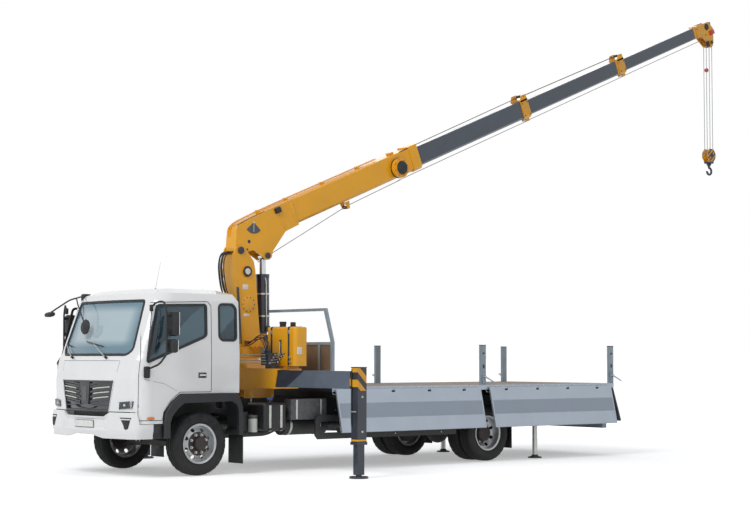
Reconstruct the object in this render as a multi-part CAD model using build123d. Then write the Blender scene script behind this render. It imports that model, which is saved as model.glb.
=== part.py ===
"""Truck-mounted crane: a two-axle cab-over lorry with a folding-side flat bed and a
telescopic crane between cab and bed.

Frame: millimetres, +X forward, +Y to the vehicle's left, +Z up. The origin lies on the
ground below the middle of the front axle.
"""
from build123d import *
from math import atan2, cos, degrees, hypot, pi, radians, sin
import os

# Running gear
WHEELBASE = 5180
TYRE_R = 419.5
TYRE_W = 240
RIM_R = 248            # bead seat radius of a 19.5 inch rim
RIM_FLANGE_R = 264
RIM_W = 190
FRONT_TYRE_Y = 905     # mid-plane of a front tyre
REAR_INNER_Y = 762     # mid-planes of the twin rear tyres
REAR_OUTER_Y = 1038
KINGPIN_Y = 720
AXLE_EYE_R = 42
KINGPIN_R = 20
SPINDLE_R = 34
HALF_SHAFT_R = 46
RUN_FIT = 0.08         # radial clearance of a shaft in its bearing
SEAT = 0.3             # gap between faces that touch on the real machine

# Ladder frame
RAIL_Y = 430           # outer face of a side rail
RAIL_FLANGE = 70
RAIL_T = 8
FRAME_Z0 = 640
FRAME_Z1 = 860
FRAME_X_FRONT = 1060
FRAME_X_BACK = -7900
SUBFRAME_H = 130

# Cab
CAB_MOUNT_X = (-480, 900)
CAB_WALL = 45
CAB_SIDE_Y = 1090
CAB_BACK_X = -570
SILL_Z = 740
ARCH_TOP_Z = 1085
ROOF_Z = 2462
DOOR_GAP = 9
DOOR_SKIN = 12          # outer layer of the door, which laps over its frame
DOOR_REBATE = 12        # how far the door's frame stands back from the skin's edge
DOOR_CLEAR = 8          # behind the door's inner face
DOOR_FRONT_X = 1000
DOOR_REAR_X = -120
GLASS_T = 6

BUMPER_Z = (506, 845)

# Bed
BED_FRONT_X = -2050
BED_BACK_X = -7920
DECK_Z = 1150
HEADBOARD_SEAT = 46     # depth of the ledge that carries the headboard
LEDGE_DROP = 8          # the ledge below the deck's face
BED_HALF_W = 1240
RAIL_DEPTH = 70        # depth of the bed's edge rail
GATE_H = 600
GATE_T = 25
GATE_HANG_DEG = 12.5     # how far a lowered side gate stands off vertical
GATE_AXIS_DROP = 48    # hinge axis below the deck
HINGE_ROD_R = 8
POST_H = 593
POST_W = 100
POST_T = 45
MID_POST_X = -4985
REAR_POST_X = -7865

# Crane
SLEW_X = -1430
PIVOT = (-1261, 3071)          # x and z of the boom's foot pin
LIFT_FOOT = (-1770, 1840)      # x and z of the lift cylinder's lower pin
LIFT_EYE = (434, -236)         # the rod eye in the boom's own frame
BOOM_ANGLE = 22.5
BOOM_AXIS_T = 180              # boom centre line above the foot pin
PIN_R = 30

HOUSING_Y = 1080
HOUSING_Z = (1130, 1405)
HOUSING_WALL = 13
BEAM_X = (-1320, -1530)        # middles of the left and right outrigger beams
BEAM_H = 230
BEAM_W = 176
BEAM_TAIL_Y = 560
BEAM_OUT = 1500                # outrigger stroke
LEG_Y = 2690
LEG_W = 150
LEG_T = 130
LEG_Z = (432, 1430)
FOOT_W = 112
JACK_STROKE = 400

REAR_JACK_X = -WHEELBASE - 1100
REAR_JACK_Y = 1050

# Boom sections, outermost first, in the boom's own frame: s runs out along the boom
# from the foot pin and t stands up across it
# columns: tail s, head s, lowest t, highest t, width
SECTIONS = [
    (640, 3720, 5, 370, 236),
    (3230, 6395, 28, 330, 200),
    (5905, 9015, 46, 298, 166),
    (8525, 11330, 62, 270, 134),
]
SECTION_WALL = 8
RETRACT = 2150         # stroke of each telescoping section
TIP_SHEAVE = (11600, -110)     # s and t of the tip sheaves' axle
SHEAVE_R = 92
ROPE_R = 6
FALL_PITCH_X = 160
FALL_PITCH_Y = 120
HOOK_Z = 5300          # middle of the hook block


def box(x0, x1, y0, y1, z0, z1):
    return Pos((x0 + x1) / 2, (y0 + y1) / 2, (z0 + z1) / 2) * Box(
        abs(x1 - x0), abs(y1 - y0), abs(z1 - z0))


def profile_xz(points, y0, y1):
    """An outline of (x, z) points, swept across the machine from y0 to y1."""
    face = make_face(Polyline(*[(x, y0, z) for x, z in points], close=True))
    return extrude(face, amount=y1 - y0, dir=(0, 1, 0))


def profile_yz(points, x0, x1):
    face = make_face(Polyline(*[(x0, y, z) for y, z in points], close=True))
    return extrude(face, amount=x1 - x0, dir=(1, 0, 0))


def profile_xy(points, z0, z1):
    face = make_face(Polyline(*[(x, y, z0) for x, y in points], close=True))
    return extrude(face, amount=z1 - z0, dir=(0, 0, 1))


def rod(p, q, r):
    """A round bar from p to q."""
    a, b = Vector(*p), Vector(*q)
    return extrude(Plane(origin=a, z_dir=b - a) * Circle(r), amount=(b - a).length)


def bent_tube(points, r, bend):
    path = FilletPolyline(*points, radius=bend)
    return sweep(Plane(origin=path @ 0, z_dir=path % 0) * Circle(r), path=path)


def mirrored(shape):
    """The right-hand twin of a left-hand shape."""
    return mirror(shape, about=Plane.XZ)


def fuse(*shapes):
    out = shapes[0]
    for s in shapes[1:]:
        out = out + s
    return out


def wheel_place(x, y, side):
    """Places a wheel drawn about +Z, its outer face up, at an axle end."""
    return Plane(origin=(x, y, TYRE_R), x_dir=(1, 0, 0), z_dir=(0, side, 0)).location


def tyre():
    """A tyre about +Z: beads on the rim, bulged walls, shoulders and a flat tread."""
    half = TYRE_W / 2
    inner = RIM_R + SEAT
    shoulder = TYRE_R - 12
    wall = (RIM_R + TYRE_R) / 2
    bead = RIM_W / 2 - 14
    foot = RIM_FLANGE_R + 6
    half_section = [
        (inner, bead), (foot, bead + 3), (wall - 34, half - 3), (wall + 20, half),
        (shoulder - 14, half - 8), (shoulder + 4, half - 26), (TYRE_R, half - 62)]
    other_half = [(r, -z) for r, z in reversed(half_section)]
    section = make_face(Polyline(*half_section, *other_half, close=True))
    return revolve(Plane.XZ * section, Axis.Z)


def rim(disc_z, hub_top, bore_r, bore_depth):
    """A steel disc wheel about +Z with its hub: barrel, disc with hand holes, hub."""
    half = RIM_W / 2
    barrel = Polyline(
        (RIM_R - 10, -half + 8), (RIM_FLANGE_R, -half), (RIM_FLANGE_R, -half + 8),
        (RIM_R, -half + 12), (RIM_R, half - 12), (RIM_FLANGE_R, half - 8),
        (RIM_FLANGE_R, half), (RIM_R - 10, half - 8), close=True)
    out = revolve(Plane.XZ * make_face(barrel), Axis.Z)
    toward = 1 if disc_z > 0 else -1
    disc = Polyline(
        (0, disc_z), (150, disc_z), (205, disc_z - 34 * toward), (RIM_R - 4, disc_z - 40 * toward),
        (RIM_R - 4, disc_z - 52 * toward), (200, disc_z - 46 * toward), (146, disc_z - 12 * toward),
        (0, disc_z - 12 * toward), close=True)
    out += revolve(Plane.XZ * make_face(disc), Axis.Z)
    holes = [Pos(0, 0, disc_z) * Rot(0, 0, 45 * k + 22.5) * Pos(190, 0, 0) * Cylinder(27, 160) for k in range(8)]
    for h in holes:
        out -= h
    low = min(disc_z, hub_top) - bore_depth
    hub = Pos(0, 0, (low + hub_top) / 2) * Cylinder(88, hub_top - low)
    out += hub
    bore = Pos(0, 0, low + bore_depth / 2) * Cylinder(bore_r, bore_depth)
    return out - bore


def ladder_frame():
    """Two channel rails, cross-members between them and the bed's longitudinal bearers."""
    parts = []
    for side in (1, -1):
        web = box(FRAME_X_BACK, FRAME_X_FRONT, side * (RAIL_Y - RAIL_T), side * RAIL_Y, FRAME_Z0, FRAME_Z1)
        low = box(FRAME_X_BACK, FRAME_X_FRONT, side * (RAIL_Y - RAIL_FLANGE), side * RAIL_Y, FRAME_Z0, FRAME_Z0 + RAIL_T)
        top = box(FRAME_X_BACK, FRAME_X_FRONT, side * (RAIL_Y - RAIL_FLANGE), side * RAIL_Y, FRAME_Z1 - RAIL_T, FRAME_Z1)
        sub = box(FRAME_X_BACK, -760, side * (RAIL_Y - RAIL_FLANGE), side * RAIL_Y, FRAME_Z1, FRAME_Z1 + SUBFRAME_H)
        mounts = [box(x - 45, x + 45, side * (RAIL_Y - 60), side * RAIL_Y, FRAME_Z1 - 5, ARCH_TOP_Z - SEAT) for x in CAB_MOUNT_X]
        parts.append(fuse(web, low, top, sub, *mounts))
    inner = RAIL_Y - RAIL_T
    for x in (1020, -1090, -2200, -3600, -4500, -5180, -5900, -7000, -7850):
        parts.append(box(x - 35, x + 35, -inner, inner, FRAME_Z0 + 20, FRAME_Z1 - 20))
    return fuse(*parts)


def leaf_pack(x, y, half_len, z_axle):
    """A leaf spring, arched over or under its axle, with hangers up to the rail."""
    pack = None
    for k, share in enumerate((1.0, 0.78, 0.56)):
        run = half_len * share
        rise = 70 * share * share
        z = z_axle - 14 * k
        arc = ThreePointArc((x - run, z + rise), (x, z), (x + run, z + rise))
        low = ThreePointArc((x + run, z + rise - 14), (x, z - 14), (x - run, z + rise - 14))
        ends = [Line(arc @ 1, low @ 0), Line(low @ 1, arc @ 0)]
        face = Plane.XZ * make_face([arc, ends[0], low, ends[1]])
        leaf = Pos(0, y + 35, 0) * extrude(face, amount=70)
        pack = leaf if pack is None else pack + leaf
    for s in (1, -1):
        xe = x + s * half_len
        pack += box(xe - 28, xe + 28, y - 35, y + 35, z_axle + 50, FRAME_Z0 - SEAT)
    return pack


def front_axle():
    z0 = 330
    drop = profile_yz([
        (-KINGPIN_Y, 385), (-KINGPIN_Y + 60, 385), (-520, z0 + 30), (520, z0 + 30), (KINGPIN_Y - 60, 385),
        (KINGPIN_Y, 385), (KINGPIN_Y, 455), (KINGPIN_Y - 80, 455), (500, z0 + 105), (-500, z0 + 105),
        (-KINGPIN_Y + 80, 455), (-KINGPIN_Y, 455)], -38, 38)
    out = drop
    for s in (1, -1):
        out += rod((0, s * KINGPIN_Y, 385), (0, s * KINGPIN_Y, 455), AXLE_EYE_R)
        out += rod((0, s * KINGPIN_Y, 330), (0, s * KINGPIN_Y, 510), KINGPIN_R)
        out += leaf_pack(0, s * 395, 620, z0 + 105 + 42)
        out += box(-60, 60, s * 395 - 45, s * 395 + 45, z0 + 60, z0 + 120)
    return out


def knuckle_left():
    """The stub axle: two arms on the kingpin and the spindle that carries the wheel."""
    y = KINGPIN_Y
    arms = fuse(box(-45, 45, y - 45, y + 75, 330, 380), box(-45, 45, y - 45, y + 75, 460, 512))
    plate = box(-55, 55, y + 50, y + 75, 330, 512)
    spindle = rod((0, y + 60, TYRE_R), (0, FRONT_TYRE_Y + 50, TYRE_R), SPINDLE_R)
    arm = box(-190, -40, y - 35, y - 5, 335, 360)
    bore = rod((0, y, 320), (0, y, 520), KINGPIN_R + RUN_FIT)
    return fuse(arms, plate, spindle, arm) - bore


def rear_axle():
    x = -WHEELBASE
    tube = rod((x, -665, TYRE_R), (x, 665, TYRE_R), 62)
    ends = fuse(*[rod((x, s * 640, TYRE_R), (x, s * 930, TYRE_R), HALF_SHAFT_R) for s in (1, -1)])
    bowl = Pos(x, 0, TYRE_R) * scale(Sphere(190), by=(0.85, 1.05, 1))
    out = fuse(tube, ends, bowl)
    for s in (1, -1):
        out += leaf_pack(x, s * 395, 700, TYRE_R + 62 + 42)
    return out


def powertrain():
    engine = box(-420, 640, -330, 330, 520, 1000)
    for x in (250, -300):
        engine += box(x - 45, x + 45, -RAIL_Y + RAIL_T + SEAT, RAIL_Y - RAIL_T - SEAT, 670, 730)
    gearbox = profile_xz([(-420, 560), (-420, 860), (-700, 840), (-1000, 780), (-1000, 600), (-700, 560)], -170, 170)
    shaft = rod((-990, 0, 600), (-WHEELBASE + 164, 0, 440), 45)
    return fuse(engine, gearbox, shaft)


# Cab sections from sill to roof
# columns: height, front at the middle, front at the corner, half width, back
CAB_SECTIONS = [
    (700, 1150, 1040, 1082, CAB_BACK_X),
    (1270, 1165, 1050, CAB_SIDE_Y, CAB_BACK_X),
    (1520, 1125, 1005, CAB_SIDE_Y, CAB_BACK_X),
    (1600, 1070, 960, CAB_SIDE_Y, CAB_BACK_X),
    (2300, 830, 720, 1062, CAB_BACK_X + 8),
    (2400, 740, 640, 1000, CAB_BACK_X + 60),
    (ROOF_Z, 560, 480, 820, CAB_BACK_X + 240),
]


def cab_outline(z, x_mid, x_corner, half, x_back, inset):
    """A level section of the cab: bowed front, rounded corners, square back."""
    xm, xc, w, xb = x_mid - inset, x_corner - inset, half - inset, x_back + inset
    turn = 0.86 * w
    front = ThreePointArc((xc, -turn, z), (xm, 0, z), (xc, turn, z))
    side_x = xc - 0.24 * w
    left = ThreePointArc((xc, turn, z), (xc - 0.075 * w, 0.955 * w, z), (side_x, w, z))
    right = ThreePointArc((side_x, -w, z), (xc - 0.075 * w, -0.955 * w, z), (xc, -turn, z))
    back = Polyline((side_x, w, z), (xb, w, z), (xb, -w, z), (side_x, -w, z))
    return make_face([front, left, *back.edges(), right])


def cab_hull(inset, z_low, z_high):
    """The cab's outer form, or the same form drawn in by inset for its inside."""
    rows = [list(r) for r in CAB_SECTIONS]
    rows[0][0] = z_low
    rows[-1][0] = z_high
    faces = [cab_outline(z, a, b, w, xb, inset) for z, a, b, w, xb in rows]
    hull = None
    for lower, upper in zip(faces, faces[1:]):
        piece = loft([lower, upper], ruled=True)
        hull = piece if hull is None else hull + piece
    return hull



DOOR_OUTLINE = [
    (982, SILL_Z), (982, 1300), (958, 1480), (795, 2270), (-60, 2300),
    (DOOR_REAR_X, 2240), (DOOR_REAR_X, 1100), (380, 1100), (520, 990), (620, 850), (640, SILL_Z)]
WINDOW_OUTLINE = [(892, 1484), (733, 2235), (-15, 2255), (-40, 2230), (-40, 1850), (10, 1815)]
QUARTER_OUTLINE = [(-235, 2272), (-470, 2272), (-526, 2215), (-526, 1777), (-285, 1777), (-235, 1825)]
SCREEN_OUTLINE = [(-868, 1655), (-780, 1585), (780, 1585), (868, 1655), (805, 2305), (-805, 2305)]
BACK_OUTLINE = [(-520, 1720), (520, 1720), (520, 2120), (-520, 2120)]
GRILLE_OUTLINE = [(636, 1255), (530, 852), (-530, 852), (-636, 1255)]
HINGE_X = 960
HINGE_Y = 1024
HINGE_PIN_R = 6
HINGE_Z = (930, 1330)


def cutter(plane, outline, depth, inset=0.0, corner=0.0):
    """A prism over an outline on a plane, drawn in by inset and with rounded corners."""
    face = make_face(Polyline(*outline, close=True))
    if corner:
        face = fillet(face.vertices(), corner)
    if inset:
        face = offset(face, amount=-inset)
    return extrude(plane * face, amount=depth)


LEFT_SIDE = Plane(origin=(0, 900, 0), x_dir=(1, 0, 0), z_dir=(0, -1, 0))


def side_cutter(outline, inset=0.0, corner=0.0):
    return cutter(LEFT_SIDE, outline, -400, inset, corner)


def front_cutter(outline, inset=0.0, corner=0.0):
    plane = Plane(origin=(500, 0, 0), x_dir=(0, 1, 0), z_dir=(1, 0, 0))
    return cutter(plane, outline, 900, inset, corner)


def back_cutter(outline, inset=0.0, corner=0.0):
    plane = Plane(origin=(CAB_BACK_X - 60, 0, 0), x_dir=(0, 1, 0), z_dir=(1, 0, 0))
    return cutter(plane, outline, 260, inset, corner)


ARCH = [(-700, 600), (640, 600), (640, SILL_Z), (620, 850), (520, 980), (380, ARCH_TOP_Z), (-700, ARCH_TOP_Z)]
TUNNEL_Y = 500
FRONT_SKIN_X = 1095


def cab_parts():
    """Cab shell, left door and its glass, and the fixed panes."""
    hull = cab_hull(0, 700, ROOF_Z)
    inside = cab_hull(CAB_WALL, 700 + CAB_WALL, ROOF_Z - CAB_WALL)
    arch = profile_xz(ARCH, -1200, 1200)
    tunnel = box(-700, FRONT_SKIN_X, -TUNNEL_Y, TUNNEL_Y, 600, ARCH_TOP_Z)
    raised = [(x + (CAB_WALL if x > 0 else 0), z + (CAB_WALL if z > 1000 else 0)) for x, z in ARCH]
    arch_over = profile_xz(raised, -1200, 1200)
    tunnel_over = box(-700, FRONT_SKIN_X + 60, -TUNNEL_Y - CAB_WALL, TUNNEL_Y + CAB_WALL, 600, ARCH_TOP_Z + CAB_WALL)
    apron = box(1000, 1300, -1200, 1200, 600, BUMPER_Z[1] + 8)
    apron_over = box(1000 - CAB_WALL, 1300, -1200, 1200, 600, BUMPER_Z[1] + 8 + CAB_WALL)
    shell = (hull - arch - tunnel - apron) - (inside - arch_over - tunnel_over - apron_over)
    under_skin = cab_hull(DOOR_SKIN, 700, ROOF_Z - DOOR_SKIN)
    door_skin = (hull - under_skin) & side_cutter(DOOR_OUTLINE, DOOR_GAP, 16)
    door_frame = (under_skin - inside) & side_cutter(DOOR_OUTLINE, DOOR_GAP + DOOR_REBATE, 16)
    door_skin = door_skin + door_frame
    behind = cab_hull(CAB_WALL + DOOR_CLEAR, 700, ROOF_Z - CAB_WALL)
    opening = side_cutter(DOOR_OUTLINE, 0, 22) - behind
    shell = shell - (opening + mirrored(opening))
    window = side_cutter(WINDOW_OUTLINE, 0, 24)
    door = door_skin - window
    pane = cab_hull(10, 700, ROOF_Z - 10) - cab_hull(10 + GLASS_T, 700 + GLASS_T, ROOF_Z - 10 - GLASS_T)
    glass = pane & side_cutter(WINDOW_OUTLINE, SEAT, 24)
    quarter = pane & side_cutter(QUARTER_OUTLINE, SEAT, 40)
    screen = pane & front_cutter(SCREEN_OUTLINE, SEAT, 50)
    back = pane & back_cutter(BACK_OUTLINE, SEAT, 40)
    holes = [
        side_cutter(QUARTER_OUTLINE, 0, 40), mirrored(side_cutter(QUARTER_OUTLINE, 0, 40)),
        front_cutter(SCREEN_OUTLINE, 0, 50), back_cutter(BACK_OUTLINE, 0, 40), front_cutter(GRILLE_OUTLINE, 0, 12)]
    for hole in holes:
        shell = shell - hole
    panes = Compound([*screen.solids(), *quarter.solids(), *mirrored(quarter).solids(), *back.solids()])
    for z in HINGE_Z:
        arm = profile_xy([(-8, 0), (-8, -66), (55, -66), (55, -48), (8, -48), (8, 0)], z - 14, z + 14)
        knuckle = Pos(HINGE_X, HINGE_Y, 0) * arm + rod((HINGE_X, HINGE_Y, z - 45), (HINGE_X, HINGE_Y, z + 45), HINGE_PIN_R)
        shell = shell + knuckle + mirrored(knuckle)
        door = door - box(HINGE_X - 16, HINGE_X + 26, HINGE_Y - 80, HINGE_Y + 8.5, z - 17, z + 17)
        door = door - rod((HINGE_X, HINGE_Y, z - 47), (HINGE_X, HINGE_Y, z + 47), HINGE_PIN_R + RUN_FIT)
    return shell, door, glass, panes


def grille():
    """A recessed panel that closes the opening in the front, with cross slats."""
    plate = front_cutter(GRILLE_OUTLINE, SEAT, 12) & box(1080, 1112, -700, 700, 800, 1300)
    out = plate
    for k in range(8):
        z = 885 + 46 * k
        half = 515 + (z - 852) * 0.26
        slat = profile_xz([(1100, z), (1138, z + 6), (1138, z + 16), (1100, z + 24)], -half, half)
        out = out + (slat & front_cutter(GRILLE_OUTLINE, SEAT + 1, 12))
    mesh = front_cutter(GRILLE_OUTLINE, SEAT, 12) & box(1105, 1140, -640, 640, 848, 872)
    return out + mesh


def bumper():
    """The front bumper, bowed in plan and returned along the sides to the steps."""
    def plan(inset):
        x, w = 1185 - inset, 1085 - inset
        front = ThreePointArc((x - 90, -0.8 * w, 0), (x, 0, 0), (x - 90, 0.8 * w, 0))
        left = ThreePointArc((x - 90, 0.8 * w, 0), (x - 130, 0.93 * w, 0), (x - 250, w, 0))
        back = Polyline((x - 250, w, 0), (780, w, 0), (780, -w, 0), (x - 250, -w, 0))
        right = ThreePointArc((x - 250, -w, 0), (x - 130, -0.93 * w, 0), (x - 90, -0.8 * w, 0))
        return make_face([front, left, *back.edges(), right])
    skin = extrude(plan(0), amount=BUMPER_Z[1] - BUMPER_Z[0]) - extrude(plan(40), amount=400)
    skin = Pos(0, 0, BUMPER_Z[0]) * skin
    sides = profile_xz([(700, 845), (1300, 845), (1300, 500), (700, 500)], -1200, 1200)
    top_step = profile_yz([(-640, 900), (-560, 790), (560, 790), (640, 900)], 1000, 1300)
    low_step = profile_yz([(-520, 560), (-450, 600), (450, 600), (520, 560), (520, 400), (-520, 400)], 1000, 1300)
    over_sill = box(700, 1060, 600, 1200, SILL_Z - 45, 900)
    out = (skin & sides) - low_step - over_sill - mirrored(over_sill)
    for s in (1, -1):
        horn = box(1040, 1150, s * 380 - 30, s * 380 + 30, 640, 700)
        out = out + (box(FRAME_X_FRONT + SEAT, 1150, s * 395 - 35, s * 395 + 35, 660, 780))
    return out


LAMP_OUTLINE = [(738, 888), (925, 905), (945, 990), (750, 975)]


def lamp_block(side):
    outline = [(side * y, z) for y, z in LAMP_OUTLINE]
    return front_cutter(outline, 0, 14)


def front_mudguards():
    """Arch liner, flare, step box and mud flap of each front wheel."""
    outer = [(636, 520), (636, 720), (615, 845), (516, 975), (378, 1080), (-480, 1080), (-560, 1030), (-612, 900), (-622, 520)]
    inner = [(-598, 520), (-588, 890), (-540, 1010), (-470, 1052), (368, 1052), (498, 955), (590, 838), (608, 715), (608, 520)]
    band = profile_xz(outer + inner, 790, 1128)
    flap = box(-618, -608, 790, 1120, 140, 540)
    step = box(640, 776, 860, 1080, 440, 690)
    tread = box(600, 776, 820, 1085, 440, 470)
    hanger = box(-560, 378, 740, 800, 1056, 1080)
    bracket = fuse(box(640, 700, RAIL_Y + SEAT, 900, 650, 690), box(-605, -575, RAIL_Y + SEAT, 800, 760, 800))
    left = fuse(band, flap, step, tread, bracket)
    return left + mirrored(left)


def cab_interior():
    """Dashboard, steering wheel and column, two seats and the bunk rest behind them."""
    floor = ARCH_TOP_Z + CAB_WALL + SEAT
    dash = profile_xz([(760, 1130 + SEAT), (1000, 1130 + SEAT), (1040, 1400), (980, 1500), (760, 1520), (700, 1400)], -870, 870)
    dash = dash & cab_hull(CAB_WALL + SEAT, 700 + CAB_WALL, ROOF_Z - CAB_WALL)
    out = [dash]
    for y in (480, -480):
        base = box(-60, 420, y - 230, y + 230, floor, 1350)
        cushion = box(-80, 440, y - 250, y + 250, 1350, 1450)
        back = profile_xz([(-80, 1450), (40, 1450), (-60, 2060), (-150, 2060)], y - 240, y + 240)
        head = profile_xz([(-90, 2060), (-65, 2060), (-80, 2200), (-150, 2200)], y - 130, y + 130)
        out.append(fuse(base, cushion, back, head))
    wheel = Plane(origin=(640, 480, 1560), z_dir=(-0.5, 0, 0.86)) * Torus(215, 14)
    hub = Plane(origin=(640, 480, 1560), z_dir=(-0.5, 0, 0.86)) * Cylinder(45, 60)
    spokes = Plane(origin=(640, 480, 1560), x_dir=(0, 1, 0), z_dir=(-0.5, 0, 0.86)) * Box(424, 40, 16)
    shaft = rod((640, 480, 1560), (800, 480, 1290), 30)
    out[0] = fuse(out[0], wheel, hub, spokes, shaft)
    return Compound([s for part in out for s in part.solids()])


def mirrors_left():
    """Arm tubes on the door with the main, wide-angle and kerb mirror housings."""
    y = 1300
    arm = bent_tube([(925, 1062, 2080), (900, y, 2180), (749, y, 2285), (640, y, 2200), (642, y, 1549), (845, y, 1420), (905, 1075, 1400)], 13, 40)
    foot = box(855, 935, 1048, 1090, 1330, 1440)
    main = box(556, 717, y - 50, y + 40, 1830, 2150)
    wide = box(573, 743, y - 50, y + 40, 1620, 1790)
    return fuse(arm, main, wide)


def wheel_front(side):
    place = wheel_place(0, side * FRONT_TYRE_Y, side)
    return place * tyre(), place * rim(58, 118, SPINDLE_R + RUN_FIT, 158)


def rim_twin():
    """The twin rear wheel: two rims on one hub and drum, about +Z, outer face up."""
    apart = (REAR_OUTER_Y - REAR_INNER_Y) / 2
    outer = Pos(0, 0, apart) * rim(-58, 20, 20, 10)
    inner = Pos(0, 0, -apart) * Rot(180, 0, 0) * rim(-58, 20, 20, 10)
    hub = Cylinder(120, 2 * apart + 40)
    drum = Pos(0, 0, -apart - 30) * Cylinder(195, 120)
    middle = Cylinder(150, 2 * (apart - 58) + 20)
    out = fuse(outer, inner, middle, hub, drum)
    bore = Pos(0, 0, -200) * Cylinder(HALF_SHAFT_R + RUN_FIT, 500)
    return out - bore


def wheel_rear(side):
    mid = (REAR_INNER_Y + REAR_OUTER_Y) / 2
    apart = (REAR_OUTER_Y - REAR_INNER_Y) / 2
    place = wheel_place(-WHEELBASE, side * mid, side)
    tyres = Compound([*(place * Pos(0, 0, apart) * tyre()).solids(), *(place * Pos(0, 0, -apart) * tyre()).solids()])
    return tyres, place * rim_twin()


def side_tanks():
    """Fuel tank on the right, urea tank, air canister and silencer on the left."""
    fuel = fillet(box(-2350, -1250, -1060, -520, 430, 960).edges().filter_by(Axis.X), 70)
    fuel = fuse(fuel, *[box(x - 25, x + 25, -540, -RAIL_Y - SEAT, 600, 840) for x in (-1400, -2200)])
    urea = fillet(box(-1400, -1010, 640, 1060, 560, 940).edges(), 45)
    urea = fuse(urea, Pos(-1200, 930, 950) * Cylinder(40, 60), box(-1300, -1100, RAIL_Y + SEAT, 660, 700, 800))
    can = fuse(Pos(-920, 920, 650) * Cylinder(62, 240), box(-945, -895, RAIL_Y + SEAT, 900, 740, 790))
    silencer = rod((-1500, 760, 620), (-2250, 760, 620), 140)
    silencer = fuse(silencer, *[box(x - 20, x + 20, RAIL_Y + SEAT, 760, 680, 740) for x in (-1600, -2150)])
    return Compound([s for part in (fuel, urea, can, silencer) for s in part.solids()])


def side_guards():
    """Two rails joined by a rounded front end, on hangers from the frame."""
    loop = []
    for z in (470, 715):
        loop.append(box(-4500, -1950, 1120, 1148, z - 45, z + 45))
    nose = profile_xz([(-1960, 425), (-1880, 425), (-1830, 475), (-1830, 710), (-1880, 760), (-1960, 760), (-1960, 670), (-1915, 650), (-1915, 535), (-1960, 515)], 1120, 1148)
    left = fuse(*loop, nose)
    for x in (-2500, -3300, -4200):
        left = fuse(left, box(x - 25, x + 25, 1080, 1120, 425, 760), box(x - 25, x + 25, RAIL_Y + SEAT, 1120, 690, 740))
    return left + mirrored(left)


GATES = {
    # name: front end x, back end x
    "gate_front": (-2094, -4889),
    "gate_rear": (-5082, -7812),
}
GATE_AXIS_Y = 1264
GATE_AXIS_Z = 1102
TAILGATE_AXIS_X = -7944
TAILGATE_HALF = 1185
TAILGATE_HANG_DEG = 20


def hinge_spots(a, b, count=4):
    """Places of a gate's hinges between its ends."""
    step = (b - a) / count
    return [a + step * (k + 0.5) for k in range(count)]


def bed_floor():
    """Deck boards in an edge rail on cross-bearers, with the gates' posts and hinges."""
    deck = box(BED_BACK_X, BED_FRONT_X, -BED_HALF_W, BED_HALF_W, DECK_Z - 30, DECK_Z)
    edge = box(BED_BACK_X, BED_FRONT_X, -BED_HALF_W, BED_HALF_W, DECK_Z - RAIL_DEPTH, DECK_Z)
    edge = edge - box(BED_BACK_X + 50, BED_FRONT_X - 50, -BED_HALF_W + 50, BED_HALF_W - 50, 1000, 1200)
    base = FRAME_Z1 + SUBFRAME_H + SEAT
    bearers = [box(x - 32, x + 32, -BED_HALF_W + 40, BED_HALF_W - 40, base, DECK_Z - 30)
               for x in range(-2200, -7900, -515)]
    ledge = box(BED_FRONT_X - HEADBOARD_SEAT, BED_FRONT_X + 1, -BED_HALF_W - 1, BED_HALF_W + 1,
                DECK_Z - LEDGE_DROP, DECK_Z + 1)
    out = fuse(deck, edge, *bearers) - ledge
    for x in (MID_POST_X, REAR_POST_X):
        for s in (1, -1):
            y = s * (BED_HALF_W - POST_T / 2)
            out = out + box(x - POST_W / 2, x + POST_W / 2, y - POST_T / 2, y + POST_T / 2, DECK_Z - 1, DECK_Z + POST_H)
    for a, b in GATES.values():
        for x in hinge_spots(a, b):
            for s in (1, -1):
                pin = rod((x - 50, s * GATE_AXIS_Y, GATE_AXIS_Z), (x + 50, s * GATE_AXIS_Y, GATE_AXIS_Z), 6)
                eye = rod((x - 30, s * GATE_AXIS_Y, GATE_AXIS_Z), (x + 30, s * GATE_AXIS_Y, GATE_AXIS_Z), 12)
                arm = box(x - 30, x + 30, s * (BED_HALF_W - 5), s * GATE_AXIS_Y, GATE_AXIS_Z - 8, GATE_AXIS_Z + 8)
                out = fuse(out, pin, eye, arm)
    for y in hinge_spots(-TAILGATE_HALF, TAILGATE_HALF, 3):
        pin = rod((TAILGATE_AXIS_X, y - 50, GATE_AXIS_Z), (TAILGATE_AXIS_X, y + 50, GATE_AXIS_Z), 6)
        eye = rod((TAILGATE_AXIS_X, y - 30, GATE_AXIS_Z), (TAILGATE_AXIS_X, y + 30, GATE_AXIS_Z), 12)
        arm = box(TAILGATE_AXIS_X, BED_BACK_X + 5, y - 30, y + 30, GATE_AXIS_Z - 8, GATE_AXIS_Z + 8)
        out = fuse(out, pin, eye, arm)
    return out


def gate_board(length, spots):
    """A side gate along X, standing up from its hinge line at the origin, outer face +Y."""
    board = box(-length / 2, length / 2, -15, 10, -12, GATE_H)
    for z in (190, 395):
        board = board - box(-length / 2, length / 2, 5, 20, z - 4, z + 4)
    for x in spots:
        board = board - box(x - 33, x + 33, -40, 40, -20, 40)
        board = board - rod((x - 52, 0, 0), (x + 52, 0, 0), 6.2)
    return board


def side_gate(a, b, side):
    mid, length = (a + b) / 2, abs(a - b)
    spots = [x - mid for x in hinge_spots(a, b)]
    board = gate_board(length, spots)
    hung = Rot(-180 + GATE_HANG_DEG, 0, 0) * board
    placed = Pos(mid, GATE_AXIS_Y, GATE_AXIS_Z) * hung
    return placed if side > 0 else mirrored(placed)


def tailgate():
    spots = hinge_spots(-TAILGATE_HALF, TAILGATE_HALF, 3)
    board = Rot(0, 0, 90) * gate_board(2 * TAILGATE_HALF, spots)
    hung = Rot(0, -180 + TAILGATE_HANG_DEG, 0) * board
    return Pos(TAILGATE_AXIS_X, 0, GATE_AXIS_Z) * hung


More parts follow.
